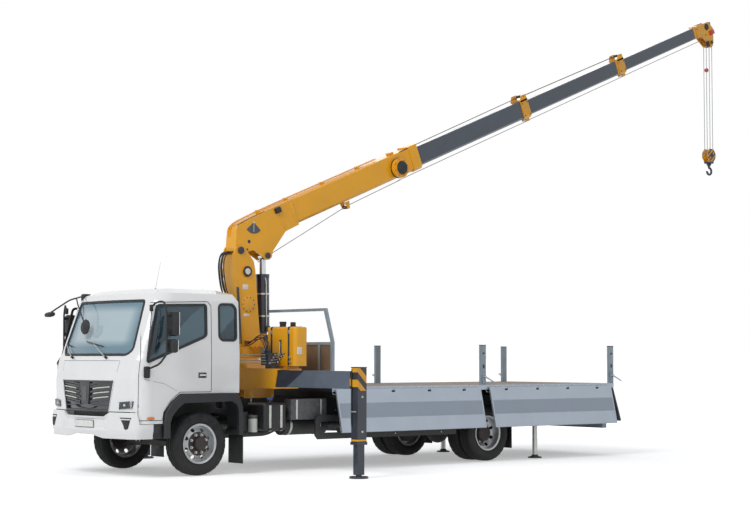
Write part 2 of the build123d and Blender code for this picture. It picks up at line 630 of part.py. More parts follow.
def headboard():
    """The front wall of the bed: posts, panel and the tube guard above it."""
    x0, x1 = BED_FRONT_X - HEADBOARD_SEAT + 4, BED_FRONT_X - 2
    z0 = DECK_Z - LEDGE_DROP + SEAT
    panel = box(x0 + 12, x1 - 12, -1215, 1215, z0, 1750)
    out = panel
    for s in (1, -1):
        out = out + box(x0, x1, s * 1240, s * 1195, z0, 1775)
        slant = profile_yz([(s * 1240, 1775), (s * 1195, 1775), (s * 1030, 2250), (s * 1080, 2250)], x0, x1)
        out = out + slant
    out = fuse(out, box(x0, x1, -1080, 1080, 2210, 2250), box(x0, x1, -1240, 1240, 1735, 1775))
    return out


def rear_mudguards():
    """Half-round guards over the twin wheels, on stays from the frame, with mud flaps."""
    x = -WHEELBASE
    ring = Pos(x, 900, TYRE_R) * Rot(90, 0, 0) * (Cylinder(490, 560) - Cylinder(484, 600))
    ring = ring & box(x - 600, x + 600, 500, 1300, 640, 1000)
    stays = fuse(*[box(x + dx - 20, x + dx + 20, RAIL_Y + SEAT, 1000, 700, 730) for dx in (-395, 395)])
    flap = box(x - 472, x - 462, 630, 1170, 180, 720)
    left = fuse(ring, *[box(x + dx - 20, x + dx + 20, RAIL_Y + SEAT, 900, 690, 730) for dx in (-428, 428)])
    left = left + (flap + box(x - 472, x - 420, 630, 1170, 690, 730))
    return left + mirrored(left)


def rear_underrun():
    """Rear guard bar on hangers from the rails, with a lamp box near each end."""
    bar = box(FRAME_X_BACK + 60, FRAME_X_BACK + 160, -1150, 1150, 430, 550)
    out = bar
    for s in (1, -1):
        out = fuse(out, box(-7830, -7750, s * 350, s * 420, 500, FRAME_Z0 - SEAT))
        out = fuse(out, box(-7860, -7790, s * 1120, s * 680, 550, 660))
    return out


def outrigger_housing():
    """Two rectangular tubes side by side across the frame, on a saddle."""
    z0, z1 = HOUSING_Z
    half = BEAM_W / 2 + SEAT
    x_back = BEAM_X[1] - half - HOUSING_WALL
    x_front = BEAM_X[0] + half + HOUSING_WALL
    body = profile_yz([(-HOUSING_Y, z1), (HOUSING_Y, z1), (HOUSING_Y - 70, z0), (-HOUSING_Y + 70, z0)], x_back, x_front)
    zm = (z0 + z1) / 2
    zh = BEAM_H / 2 + SEAT
    left_bay = box(BEAM_X[0] - half, BEAM_X[0] + half, -HOUSING_Y + 90, HOUSING_Y + 20, zm - zh, zm + zh)
    right_bay = box(BEAM_X[1] - half, BEAM_X[1] + half, -HOUSING_Y - 20, HOUSING_Y - 90, zm - zh, zm + zh)
    saddle = box(x_back, x_front, -RAIL_Y - 20, RAIL_Y + 20, FRAME_Z1 + SUBFRAME_H + SEAT, z0 + 5)
    saddle = saddle - box(x_back - 5, x_front + 5, -300, 300, 900, z0 - 25)
    return body - left_bay - right_bay + saddle


def outrigger_beam(side):
    x = BEAM_X[0] if side > 0 else BEAM_X[1]
    zm = (HOUSING_Z[0] + HOUSING_Z[1]) / 2
    beam = box(x - BEAM_W / 2, x + BEAM_W / 2, side * BEAM_TAIL_Y, side * (LEG_Y - LEG_T / 2 + 1), zm - BEAM_H / 2, zm + BEAM_H / 2)
    hollow = box(x - BEAM_W / 2 + 8, x + BEAM_W / 2 - 8, side * (BEAM_TAIL_Y - 10), side * (LEG_Y - LEG_T / 2 - 20), zm - BEAM_H / 2 + 8, zm + BEAM_H / 2 - 8)
    leg = box(x - LEG_W / 2, x + LEG_W / 2, side * (LEG_Y - LEG_T / 2), side * (LEG_Y + LEG_T / 2), *LEG_Z)
    collar = box(x - LEG_W / 2 - 8, x + LEG_W / 2 + 8, side * (LEG_Y - LEG_T / 2 - 8), side * (LEG_Y + LEG_T / 2 + 8), LEG_Z[0], LEG_Z[0] + 40)
    fit = FOOT_W / 2 + SEAT
    fit_y = (LEG_T - (LEG_W - FOOT_W)) / 2 + SEAT
    bore = box(x - fit, x + fit, side * (LEG_Y - fit_y), side * (LEG_Y + fit_y), LEG_Z[0] - 5, LEG_Z[1] - 15)
    return (beam - hollow) + leg + collar - bore


def outrigger_foot(side):
    x = BEAM_X[0] if side > 0 else BEAM_X[1]
    half_y = (LEG_T - (LEG_W - FOOT_W)) / 2
    tube = box(x - FOOT_W / 2, x + FOOT_W / 2, side * (LEG_Y - half_y), side * (LEG_Y + half_y), 45, 1000)
    plate = Pos(x, side * LEG_Y, 10) * Cylinder(125, 20)
    neck = Pos(x, side * LEG_Y, 35) * Cylinder(40, 50)
    return fuse(tube, neck, plate)


def rear_jack_tubes():
    out = []
    for s in (1, -1):
        tube = Pos(REAR_JACK_X, s * REAR_JACK_Y, 750) * (Cylinder(50, 460) - Pos(0, 0, -12) * Cylinder(40 + SEAT, 460))
        arm = box(REAR_JACK_X - 40, REAR_JACK_X + 40, s * (RAIL_Y + SEAT), s * (REAR_JACK_Y - 44), 720, 830)
        out += (tube + arm).solids()
    return Compound(out)


def rear_jack_foot(side):
    x, y = REAR_JACK_X, side * REAR_JACK_Y
    return fuse(rod((x, y, 10), (x, y, 620), 40), Pos(x, y, 8) * Cylinder(110, 16))


def crane_base():
    """The pedestal that rises from the housing to the slewing ring."""
    z0 = HOUSING_Z[1] + SEAT
    low = Plane(origin=(SLEW_X, 0, z0)) * Rectangle(410, 760)
    high = Plane(origin=(SLEW_X, 0, 1560)) * Circle(235)
    skirt = loft([low.face(), high.face()])
    ring = Pos(SLEW_X, 0, (1555 + 1640) / 2) * Cylinder(250, 85)
    return skirt + ring


COLUMN = [
    (-1145, 3030), (-1206, 2392), (-1272, 1745), (-1262, 1700), (-1600, 1700), (-1622, 1750), (-1576, 2190),
    (-1552, 2455), (-1521, 2800), (-1492, 2926), (-1413, 3023), (-1335, 3125), (-1261, 3152), (-1190, 3125)]
COLUMN_Y = 145
EAR_Y = 122            # inner face of a column ear
WINCH = (-1370, 2776)  # x and z of the winch drum's axle
BARREL_R = 95
ROD_R = 49
EYE_W = 90


def column():
    """The slewing column: ring, tapered box, ears for the boom's foot pin, winch drum."""
    body = profile_xz(COLUMN, -COLUMN_Y, COLUMN_Y)
    slot = profile_xz([(-1190, 3200), (-1166, 2980), (-1206, 2560), (-1700, 2560), (-1700, 3200)], -EAR_Y, EAR_Y)
    top = profile_xz([(-1100, 3200), (-1100, 3030), (-1190, 3030), (-1190, 3200)], -EAR_Y, EAR_Y)
    disc = Pos(SLEW_X, 0, 1640 + SEAT + 30) * Cylinder(240, 60)
    px, pz = PIVOT
    pin = rod((px, -COLUMN_Y - 12, pz), (px, COLUMN_Y + 12, pz), PIN_R)
    wx, wz = WINCH
    drum = fuse(rod((wx, -EAR_Y, wz), (wx, EAR_Y, wz), 80), rod((wx, -EAR_Y, wz), (wx, -EAR_Y + 14, wz), 118), rod((wx, EAR_Y - 14, wz), (wx, EAR_Y, wz), 118))
    flange = fuse(rod((wx, COLUMN_Y - 2, wz), (wx, COLUMN_Y + 16, wz), 75), rod((wx, -COLUMN_Y + 2, wz), (wx, -COLUMN_Y - 220, wz), 85))
    fx, fz = LIFT_FOOT
    lug = profile_xz([(-1600, 1702), (-1600, 1960), (-1665, 1895), (fx, fz + 56), (fx - 50, fz + 30), (fx - 60, fz - 20), (fx - 35, fz - 55), (fx + 20, 1702)], -EYE_W / 2 - 32, EYE_W / 2 + 32)
    lug = lug - box(-1900, -1618, -EYE_W / 2 - 5, EYE_W / 2 + 5, 1600, 2100)
    pin_low = rod((fx, -EYE_W / 2 - 45, fz), (fx, EYE_W / 2 + 45, fz), PIN_R)
    return fuse(body - slot - top, disc, pin, drum, flange, lug, pin_low)


def boom_point(s, t):
    """World x and z of a point in the boom's own frame at rest."""
    a = radians(BOOM_ANGLE)
    return (PIVOT[0] - s * cos(a) + t * sin(a), PIVOT[1] + s * sin(a) + t * cos(a))


def boom_prism(points, y0, y1):
    return profile_xz([boom_point(s, t) for s, t in points], y0, y1)


def boom_box(s0, s1, t0, t1, y0, y1):
    return boom_prism([(s0, t0), (s1, t0), (s1, t1), (s0, t1)], y0, y1)


def section_shape(s0, s1, t0, t1, width, chamfer=0.16):
    """A boom box with chamfered lower edges, standing on the boom's line."""
    a = radians(BOOM_ANGLE)
    x, z = boom_point(s0, 0)
    plane = Plane(origin=(x, 0, z), x_dir=(0, 1, 0), z_dir=(-cos(a), 0, sin(a)))
    h = width / 2
    c = chamfer * width
    outline = [(-h, t1 - 12), (-h + 12, t1), (h - 12, t1), (h, t1 - 12), (h, t0 + c), (h - c, t0), (-h + c, t0), (-h, t0 + c)]
    sign = 1 if (plane.y_dir.Z > 0) else -1
    face = make_face(Polyline(*[(y, sign * t) for y, t in outline], close=True))
    return extrude(plane * face, amount=s1 - s0)


def section_tube(k):
    """Section k's tube with its head collar, and a tail collar that runs in the one before."""
    tail, head, t0, t1, w = SECTIONS[k]
    wall = SECTION_WALL
    tube = section_shape(tail, head, t0, t1, w) - section_shape(tail - 5, head + 5, t0 + wall, t1 - wall, w - 2 * wall, 0.15)
    if k + 1 < len(SECTIONS):
        _, _, n0, n1, nw = SECTIONS[k + 1]
        collar = section_shape(head - 110, head + 65, t0 - 14, t1 + 20, w + 30)
        collar = collar - section_shape(head - 200, head + 200, n0 - SEAT, n1 + SEAT, nw + 2 * SEAT)
        tube = tube + collar
    if k > 0:
        _, _, o0, o1, ow = SECTIONS[k - 1]
        pad = section_shape(tail, tail + 70, o0 + wall + SEAT, o1 - wall - SEAT, ow - 2 * wall - 2 * SEAT, 0.15)
        pad = pad - section_shape(tail - 5, tail + 80, t0 + wall, t1 - wall, w - 2 * wall, 0.15)
        tube = tube + pad
    return tube


# The boom's foot in its own frame: crown, flat top, arched underside, cylinder lug, heel
ROOT_OUTLINE = [
    (-62, 20), (-55, 60), (60, 285), (100, 330), (164, 345), (600, 360), (640, 374), (1149, 374), (1149, -14),
    (877, -24), (762, -91), (552, -212), (500, -285), (452, -302), (400, -290), (330, -200), (237, -80),
    (146, -66), (60, -72), (-30, -62)]
# The space between the foot's cheeks that the lift cylinder's rod works in
ROOT_POCKET = [(130, -400), (130, 10), (655, 10), (735, -60), (612, -140), (596, -168), (596, -400)]
ROOT_HALF = 119.5
CHEEK_T = 20


def boom_1():
    """The goose-necked foot of the boom with its outermost section."""
    tail, head, t0, t1, w = SECTIONS[0]
    _, _, n0, n1, nw = SECTIONS[1]
    wall = SECTION_WALL
    outer = boom_prism(ROOT_OUTLINE, -ROOT_HALF, ROOT_HALF)
    outer = outer + section_shape(tail + 60, head, t0, t1, w)
    outer = outer + section_shape(head - 110, head + 65, t0 - 14, t1 + 20, w + 30)
    ex, ez = boom_point(*LIFT_EYE)
    rx, rz = boom_point(3290, 150)
    for side in (1, -1):
        outer = outer + rod((ex, side * (ROOT_HALF - 2), ez), (ex, side * (ROOT_HALF + 14), ez), PIN_R)
    reel = fuse(rod((rx, w / 2 - 2, rz), (rx, w / 2 + 90, rz), 150), rod((rx, w / 2 + 89, rz), (rx, w / 2 + 110, rz), 110))
    outer = outer + reel
    pocket = boom_prism(ROOT_POCKET, -ROOT_HALF + CHEEK_T, ROOT_HALF - CHEEK_T)
    bay = section_shape(tail + wall, head - 110, t0 + wall, t1 - wall, w - 2 * wall, 0.15)
    mouth = section_shape(head - 120, head + 80, n0 - SEAT, n1 + SEAT, nw + 2 * SEAT)
    px, pz = PIVOT
    bore = rod((px, -w, pz), (px, w, pz), PIN_R + RUN_FIT)
    return outer - pocket - bay - mouth - bore


def boom_4():
    """The innermost section with the sheave cage at its tip."""
    tail, head, t0, t1, w = SECTIONS[3]
    cs, ct = TIP_SHEAVE
    cage = boom_prism([(head - 60, t0 - 10), (head - 60, t1 + 12), (head + 330, t1), (head + 430, 120), (cs + 70, ct - 20), (cs + 20, ct - 80), (cs - 60, ct - 60), (head + 60, t0 - 10)], -w / 2 - 14, w / 2 + 14)
    gap = boom_prism([(head + 20, 500), (head + 20, -400), (head + 700, -400), (head + 700, 500)], -w / 2, w / 2)
    inner = section_shape(head - 100, head + 30, t0 - SEAT, t1 + SEAT, w)
    x, z = boom_point(cs, ct)
    axle = rod((x, -w / 2 - 30, z), (x, w / 2 + 30, z), 22)
    sheaves = fuse(*[sheave(x, s * FALL_PITCH_Y / 4, z) for s in (1, -1)])
    top = boom_point(head + 250, 190)
    guide = fuse(sheave(top[0], 0, top[1], 70), rod((top[0], -w / 2 - 10, top[1]), (top[0], w / 2 + 10, top[1]), 18))
    return fuse(section_tube(3), cage - gap, axle, sheaves, guide)


def sheave(x, y, z, r=None):
    """A grooved rope wheel about Y."""
    r = SHEAVE_R if r is None else r
    half = 19
    groove = r - (SHEAVE_R - FALL_PITCH_X / 2 + ROPE_R + SEAT)
    pts = [(0, -half), (r, -half), (r, -half + 4), (groove, -6), (groove, 6), (r, half - 4), (r, half), (0, half)]
    face = Plane.XY * make_face(Polyline(*pts, close=True))
    wheel = revolve(face, Axis.Y)
    return Pos(x, y, z) * wheel


def lift_barrel():
    fx, fz = LIFT_FOOT
    ex, ez = boom_point(*LIFT_EYE)
    length = hypot(ex - fx, ez - fz)
    frame = Plane(origin=(fx, 0, fz), x_dir=(0, 1, 0), z_dir=(ex - fx, 0, ez - fz))
    eye = rod((fx, -EYE_W / 2, fz), (fx, EYE_W / 2, fz), 55)
    tube = frame * Pos(0, 0, 490) * Cylinder(BARREL_R, 820)
    gland = frame * Pos(0, 0, 880) * Cylinder(BARREL_R + 4, 40)
    neck = frame * Pos(0, 0, 60) * Box(EYE_W, 80, 100)
    bore = frame * Pos(0, 0, 520) * Cylinder(ROD_R + RUN_FIT + 0.2, 780)
    out = fuse(eye, neck, tube, gland) - bore
    return out - rod((fx, -100, fz), (fx, 100, fz), PIN_R + RUN_FIT)


def lift_rod():
    fx, fz = LIFT_FOOT
    ex, ez = boom_point(*LIFT_EYE)
    length = hypot(ex - fx, ez - fz)
    frame = Plane(origin=(fx, 0, fz), x_dir=(0, 1, 0), z_dir=(ex - fx, 0, ez - fz))
    bar = frame * Pos(0, 0, (length - 640) + 295) * Cylinder(ROD_R, 590)
    eye = rod((ex, -44, ez), (ex, 44, ez), 52)
    pin = rod((ex, -92, ez), (ex, 92, ez), PIN_R)
    return fuse(bar, eye, pin)


HOOK_X = boom_point(*TIP_SHEAVE)[0]
TIP_Z = boom_point(*TIP_SHEAVE)[1]


def hook_falls():
    """The four rope falls between the tip sheaves and the block."""
    out = []
    for sx in (1, -1):
        for sy in (1, -1):
            x = HOOK_X + sx * FALL_PITCH_X / 2
            y = sy * FALL_PITCH_Y / 4
            out += rod((x, y, HOOK_Z), (x, y, TIP_Z), ROPE_R).solids()
    return Compound(out)


def hook_block():
    """The hook block: cheeks around two sheaves, swivel, hook and safety latch."""
    x, z = HOOK_X, HOOK_Z
    cheek = [(x - 115, z + 20), (x - 60, z + 120), (x + 60, z + 120), (x + 115, z + 20), (x + 70, z - 120), (x - 70, z - 120)]
    cheeks = fuse(profile_xz(cheek, -62, -50), profile_xz(cheek, 50, 62))
    sheaves = fuse(*[sheave(x, s * FALL_PITCH_Y / 4, z) for s in (1, -1)])
    axle = rod((x, -75, z), (x, 75, z), 22)
    cross = box(x - 60, x + 60, -62, 62, z - 150, z - 100)
    shank = rod((x, 0, z - 100), (x, 0, z - 230), 22)
    path = Pos(x, 0, z - 300) * Rot(90, 0, 0)
    ring = Pos(x - 5, 0, z - 292) * Rot(90, 0, 0) * Torus(62, 20)
    bite = box(x + 5, x + 100, -30, 30, z - 292, z - 200)
    return fuse(cheeks, sheaves, axle, cross, shank, ring - bite)


def oil_tank():
    tank = box(-1634, -1400, 570, 1230, 1440, 1980)
    tank = fillet(tank.edges().filter_by(Axis.Z), 60)
    tank = fillet(tank.faces().sort_by(Axis.Z)[-1].edges(), 25)
    feet = fuse(*[box(-1620, -1415, y - 30, y + 30, HOUSING_Z[1] + SEAT, 1445) for y in (650, 1000)])
    cap = Pos(-1520, 800, 2000) * Cylinder(45, 60)
    return fuse(tank, feet, cap)


def valve_bank():
    """Control valves on the left with levers, joined by link rods to the right-hand levers."""
    block = box(-1330, -1170, 760, 930, 1450, 1620)
    foot = box(-1310, -1230, 780, 910, HOUSING_Z[1] + SEAT, 1455)
    out = fuse(block, foot)
    for k in range(4):
        z = 1480 + 38 * k
        lever = fuse(rod((-1190 - 30 * k, 900, z), (-1190 - 30 * k, 1130, z + 12), 7), Pos(-1190 - 30 * k, 1130, z + 12) * Sphere(15))
        out = fuse(out, lever)
    return out


def build():
    shell, door, glass, panes = cab_parts()
    lamps_left = lamp_block(1)
    lamps = [(lamps_left & (cab_hull(2, 700, ROOF_Z) - cab_hull(44, 700, ROOF_Z - 44))), None]
    shell = shell - lamps_left - mirrored(lamps_left)
    lamp_left = lamps[0] & front_cutter(LAMP_OUTLINE, SEAT, 14)
    mirrors = mirrors_left()
    nodes = {
        "frame_rails": ladder_frame(),
        "front_axle": front_axle(),
        "rear_axle": rear_axle(),
        "powertrain": powertrain(),
        "cab_shell": shell,
        "cab_glass": panes,
        "grille": grille(),
        "bumper": bumper(),
        "headlamps": Compound([*lamp_left.solids(), *mirrored(lamp_left).solids()]),
        "front_mudguards": front_mudguards(),
        "cab_interior": cab_interior(),
        "side_tanks": side_tanks(),
        "side_guards": side_guards(),
        "bed_floor": bed_floor(),
        "headboard": headboard(),
        "rear_mudguards": rear_mudguards(),
        "rear_underrun": rear_underrun(),
        "crane_base": crane_base(),
        "outrigger_housing": outrigger_housing(),
        "oil_tank": oil_tank(),
        "valve_bank": valve_bank(),
        "rear_jack_tubes": rear_jack_tubes(),
        "door_left": door,
        "door_glass_left": glass,
        "mirrors_left": mirrors,
        "door_right": mirrored(door),
        "door_glass_right": mirrored(glass),
        "mirrors_right": mirrored(mirrors),
        "knuckle_left": knuckle_left(),
        "knuckle_right": mirrored(knuckle_left()),
        "tailgate": tailgate(),
        "column": column(),
        "boom_1": boom_1(),
        "boom_2": section_tube(1),
        "boom_3": section_tube(2),
        "boom_4": boom_4(),
        "lift_barrel": lift_barrel(),
        "lift_rod": lift_rod(),
        "hook_falls": hook_falls(),
        "hook_block": hook_block(),
    }
    for side, word in ((1, "left"), (-1, "right")):
        nodes[f"tyre_front_{word}"], nodes[f"rim_front_{word}"] = wheel_front(side)
        nodes[f"tyres_rear_{word}"], nodes[f"rims_rear_{word}"] = wheel_rear(side)
        for name, (a, b) in GATES.items():
            nodes[f"{name}_{word}"] = side_gate(a, b, side)
        nodes[f"outrigger_beam_{word}"] = outrigger_beam(side)
        nodes[f"outrigger_foot_{word}"] = outrigger_foot(side)
        nodes[f"rear_jack_foot_{word}"] = rear_jack_foot(side)
    return nodes


os.makedirs("parts", exist_ok=True)
for node_name, node_shape in build().items():
    export_step(Compound(list(node_shape.solids())), f"parts/{node_name}.step")
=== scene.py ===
"""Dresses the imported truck-mounted crane: finishes, small fittings, ropes, hoses and stage.

Metres, in the model's own frame: +X forward, +Y to the vehicle's left, +Z up, with the
origin on the ground below the middle of the front axle.
"""

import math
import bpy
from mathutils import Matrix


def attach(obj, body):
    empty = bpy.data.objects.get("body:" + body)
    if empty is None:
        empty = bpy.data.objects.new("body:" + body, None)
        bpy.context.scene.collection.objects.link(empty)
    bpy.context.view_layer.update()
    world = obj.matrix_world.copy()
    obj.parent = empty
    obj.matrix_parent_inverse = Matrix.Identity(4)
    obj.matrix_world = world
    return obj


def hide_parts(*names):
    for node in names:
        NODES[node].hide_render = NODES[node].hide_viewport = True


bl_info = {
    "name": "Truck-mounted crane dressing",
    "version": (1, 0, 0),
    "blender": (4, 5, 0),
    "location": "3D View > Sidebar > Truck crane",
    "description": "Finishes, fittings and stage for a flat-bed lorry with a telescopic crane",
    "category": "Object",
}

import bmesh
import bpy
from bpy.props import FloatProperty, FloatVectorProperty, PointerProperty
from mathutils import Matrix, Vector

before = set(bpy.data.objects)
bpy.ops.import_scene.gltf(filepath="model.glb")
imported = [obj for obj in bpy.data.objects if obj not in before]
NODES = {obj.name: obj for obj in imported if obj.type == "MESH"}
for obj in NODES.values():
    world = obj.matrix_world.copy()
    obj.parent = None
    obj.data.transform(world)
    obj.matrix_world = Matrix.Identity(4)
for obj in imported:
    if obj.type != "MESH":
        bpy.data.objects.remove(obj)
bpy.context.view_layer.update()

# Driving places, repeated from the part's own frame: wheels and tyres first
WHEELBASE = 5.18
TYRE_R = 0.4195
FRONT_TYRE_Y = 0.905
REAR_TYRES_Y = (0.762, 1.038)
# The boom's rise at rest and its pivot on the column, and the slewing axis of the column
BOOM_ANGLE = math.radians(22.5)
PIVOT = Vector((-1.261, 0.0, 3.071))
SLEW_X = -1.430
# Front end of the bed and the top of its deck
BED_FRONT_X = -2.050
DECK_Z = 1.150
# Hinge of the side gates as Y and Z, how far off the plumb line they hang, and their front and back end
GATE_AXIS = (1.264, 1.102)
GATE_HANG = math.radians(12.5)
GATES = {"gate_front": (-2.094, -4.889), "gate_rear": (-5.082, -7.812)}
POSTS_X = (-4.985, -7.865)
# The left and the right outrigger leg along the frame and how far out both stand, then the rear jacks
LEGS_X = (-1.320, -1.530)
LEG_Y = 2.690
JACK_X = -6.280
JACK_Y = 1.050
# Outer face of the frame rails and of the side guards, and the silencer's axis as Y and Z
RAIL_Y = 0.431
GUARD_Y = 1.148
SILENCER = (0.760, 0.620)
# How far out the door mirrors stand; the lift cylinder's foot and the winch as X and Z
MIRROR_Y = 1.300
CYLINDER_FOOT = (-1.770, 1.840)
WINCH = (-1.370, 2.776)
# The hose reel as places along the boom and up from its axis
REEL = (3.290, 0.150)
# Middle of the hook block's sheaves: forward and up
HOOK_AT = (-12.0203, 5.300)

SIDES = ((1, "left"), (-1, "right"))
# Colours outside the table of finishes: road dust, and the dark of the outrigger's warning stripes
DUST = "A59C8B"
DARK_STRIPE = "23262B"


def linear(text):
    """Turns an sRGB hex colour into the linear values that shaders take."""
    out = []
    for k in (0, 2, 4):
        c = int(text[k:k + 2], 16) / 255
        out.append(c / 12.92 if c <= 0.04045 else ((c + 0.055) / 1.055) ** 2.4)
    return (*out, 1.0)


def hex_text(colour):
    """Turns the linear values of a setting back to sRGB hex."""
    parts = (12.92 * c if c <= 0.0031308 else 1.055 * c ** (1 / 2.4) - 0.055 for c in colour)
    return "".join(f"{round(c * 255):02X}" for c in parts)


def scaled(text, share):
    """A hex colour made lighter or darker by a share of its value."""
    parts = [min(255, max(0, round(int(text[k:k + 2], 16) * share))) for k in (0, 2, 4)]
    return "".join(f"{p:02X}" for p in parts)


def add_node(tree, kind, settings=None, values=None, links=None):
    """Adds a node with its settings, its input values and what is linked to its inputs."""
    made = tree.nodes.new(kind)
    for key, value in (settings or {}).items():
        setattr(made, key, value)
    for key, value in (values or {}).items():
        made.inputs[key].default_value = value
    for key, source in (links or {}).items():
        tree.links.new(source, made.inputs[key])
    return made


def start_material(name):
    """A new material, its empty node tree and its object coordinates in metres."""
    material = bpy.data.materials.new(name)
    material.use_nodes = True
    tree = material.node_tree
    tree.nodes.clear()
    place = add_node(tree, "ShaderNodeTexCoord").outputs["Object"]
    return material, tree, place


def shade(material, tree, values, links):
    """Closes a material with a Principled shader."""
    shader = add_node(tree, "ShaderNodeBsdfPrincipled", values=values, links=links)
    add_node(tree, "ShaderNodeOutputMaterial", links={"Surface": shader.outputs[0]})
    return material


def blend_colours(tree, factor, first, second):
    """Mixes two colours; each is a hex text or another node's output."""
    mix = add_node(tree, "ShaderNodeMix", {"data_type": "RGBA"}, links={0: factor})
    for socket, colour in ((6, first), (7, second)):
        if isinstance(colour, str):
            mix.inputs[socket].default_value = linear(colour)
        else:
            tree.links.new(colour, mix.inputs[socket])
    return mix.outputs[2]


def band(tree, value, low, high, soft=0.002):
    """One between low and high of a coordinate and zero outside, with a soft edge."""
    rise = add_node(tree, "ShaderNodeMapRange", values={"From Min": low - soft, "From Max": low + soft},
                    links={"Value": value})
    fall = add_node(tree, "ShaderNodeMapRange", links={"Value": value},
                    values={"From Min": high - soft, "From Max": high + soft, "To Min": 1.0, "To Max": 0.0})
    return add_node(tree, "ShaderNodeMath", {"operation": "MULTIPLY"},
                    links={0: rise.outputs[0], 1: fall.outputs[0]}).outputs[0]


def worn(tree, place, colour, mottle, mottle_mm, dirt, dirt_top):
    """A colour that wanders over patches, with road dust on it near the ground."""
    patches = add_node(tree, "ShaderNodeTexNoise", values={"Scale": 1000 / mottle_mm, "Detail": 4.0},
                       links={"Vector": place})
    spread = add_node(tree, "ShaderNodeMapRange", links={"Value": patches.outputs["Fac"]},
                      values={"From Min": 0.3, "From Max": 0.7})
    if isinstance(colour, str):
        hue = blend_colours(tree, spread.outputs[0], scaled(colour, 1 - mottle), scaled(colour, 1 + mottle))
    else:
        dark = blend_colours(tree, spread.outputs[0], "E6E6E6", "FFFFFF")
        hue = add_node(tree, "ShaderNodeMix", {"data_type": "RGBA", "blend_type": "MULTIPLY"},
                       {0: 1.0}, {6: colour, 7: dark}).outputs[2]
    if dirt:
        apart = add_node(tree, "ShaderNodeSeparateXYZ", links={"Vector": place})
        low = add_node(tree, "ShaderNodeMapRange", links={"Value": apart.outputs["Z"]},
                       values={"From Min": 0.2, "From Max": dirt_top, "To Min": dirt, "To Max": 0.0})
        amount = add_node(tree, "ShaderNodeMath", {"operation": "MULTIPLY"},
                          links={0: low.outputs[0], 1: spread.outputs[0]})
        hue = blend_colours(tree, amount.outputs[0], hue, DUST)
    return hue, spread.outputs[0]


def surface(name, colour, row, stretch=(1, 1, 1), paint=None):
    """A finish with wandering colour, fine relief and road dust on its low stretches.

    row is the finish's own row of the table after its colour, stretch draws the grain out along
    an axis, and paint, where given, takes the tree and the place and returns a pattern's colour.
    """
    rough, metal, coat, mottle, mottle_mm, grain_mm, grain_depth_mm, dirt, dirt_top = row
    material, tree, place = start_material(name)
    hue = paint(tree, place) if paint else colour
    hue, spread = worn(tree, place, hue, mottle, mottle_mm, dirt, dirt_top)
    rub = add_node(tree, "ShaderNodeMapRange", links={"Value": spread},
                   values={"To Min": rough * 0.85, "To Max": min(1.0, rough * 1.2)})
    drawn = add_node(tree, "ShaderNodeMapping", links={"Vector": place}, values={"Scale": stretch})
    grain = add_node(tree, "ShaderNodeTexNoise", values={"Scale": 1000 / grain_mm, "Detail": 2.0},
                     links={"Vector": drawn.outputs[0]})
    relief = add_node(tree, "ShaderNodeBump", values={"Distance": grain_depth_mm / 1000},
                      links={"Height": grain.outputs["Fac"]})
    values = {"Metallic": metal, "Coat Weight": coat, "Coat Roughness": 0.04}
    return shade(material, tree, values,
                 {"Base Color": hue, "Roughness": rub.outputs[0], "Normal": relief.outputs[0]})


def glass(name, tint, clear, share, paint=None):
    """Float glass: a thin sheet that mirrors the sky, tinted by a share, and lets the inside show."""
    material, tree, place = start_material(name)
    smear = add_node(tree, "ShaderNodeTexNoise", values={"Scale": 6.0, "Detail": 3.0},
                     links={"Vector": place})
    rough = add_node(tree, "ShaderNodeMapRange", links={"Value": smear.outputs["Fac"]},
                     values={"To Min": 0.01, "To Max": 0.07})
    mirror = add_node(tree, "ShaderNodeBsdfGlossy", values={"Color": (1, 1, 1, 1)},
                      links={"Roughness": rough.outputs[0]})
    through = add_node(tree, "ShaderNodeBsdfTransparent", values={"Color": linear(clear)})
    body = add_node(tree, "ShaderNodeBsdfDiffuse", values={"Color": linear(tint)})
    if paint:
        tree.links.new(paint(tree, place), body.inputs["Color"])
    sheet = add_node(tree, "ShaderNodeMixShader", values={0: share},
                     links={1: through.outputs[0], 2: body.outputs[0]})
    edge = add_node(tree, "ShaderNodeFresnel", values={"IOR": 1.52})
    both = add_node(tree, "ShaderNodeMixShader",
                    links={0: edge.outputs[0], 1: sheet.outputs[0], 2: mirror.outputs[0]})
    add_node(tree, "ShaderNodeOutputMaterial", links={"Surface": both.outputs[0]})
    return material


def side_sky(tree, place):
    """The dark side glass, painted lighter towards the top and with the slanted edge of a bright cloud on
    it: a painted reflection of the sky.
    """
    apart = add_node(tree, "ShaderNodeSeparateXYZ", links={"Vector": place})
    climb = add_node(tree, "ShaderNodeMath", {"operation": "MULTIPLY_ADD"}, {1: 0.85},
                     {0: apart.outputs["X"], 2: apart.outputs["Z"]})
    cloud = add_node(tree, "ShaderNodeTexNoise", values={"Scale": 3.0, "Detail": 3.0},
                     links={"Vector": place})
    edge = add_node(tree, "ShaderNodeMath", {"operation": "MULTIPLY_ADD"}, {1: 0.12},
                    {0: cloud.outputs["Fac"], 2: climb.outputs[0]})
    lit = band(tree, edge.outputs[0], 1.72, 2.32, 0.02)
    low = add_node(tree, "ShaderNodeMapRange", links={"Value": apart.outputs["Z"]},
                   values={"From Min": 1.5, "From Max": 2.2})
    hue = blend_colours(tree, low.outputs[0], "1E2A33", "45606E")
    return blend_colours(tree, lit, hue, "5D7A88")


def screen_sky(tree, place):
    """The windscreen: pale sky mirrored in the middle, bluer towards the edges."""
    apart = add_node(tree, "ShaderNodeSeparateXYZ", links={"Vector": place})
    wide = band(tree, apart.outputs["Y"], -0.66, 0.70, 0.10)
    tall = band(tree, apart.outputs["Z"], 1.74, 2.20, 0.05)
    both = add_node(tree, "ShaderNodeMath", {"operation": "MULTIPLY"}, links={0: wide, 1: tall})
    pale = hex_text(bpy.context.scene.crane_colours.screen)
    return blend_colours(tree, both.outputs[0], "7FA5B8", pale)


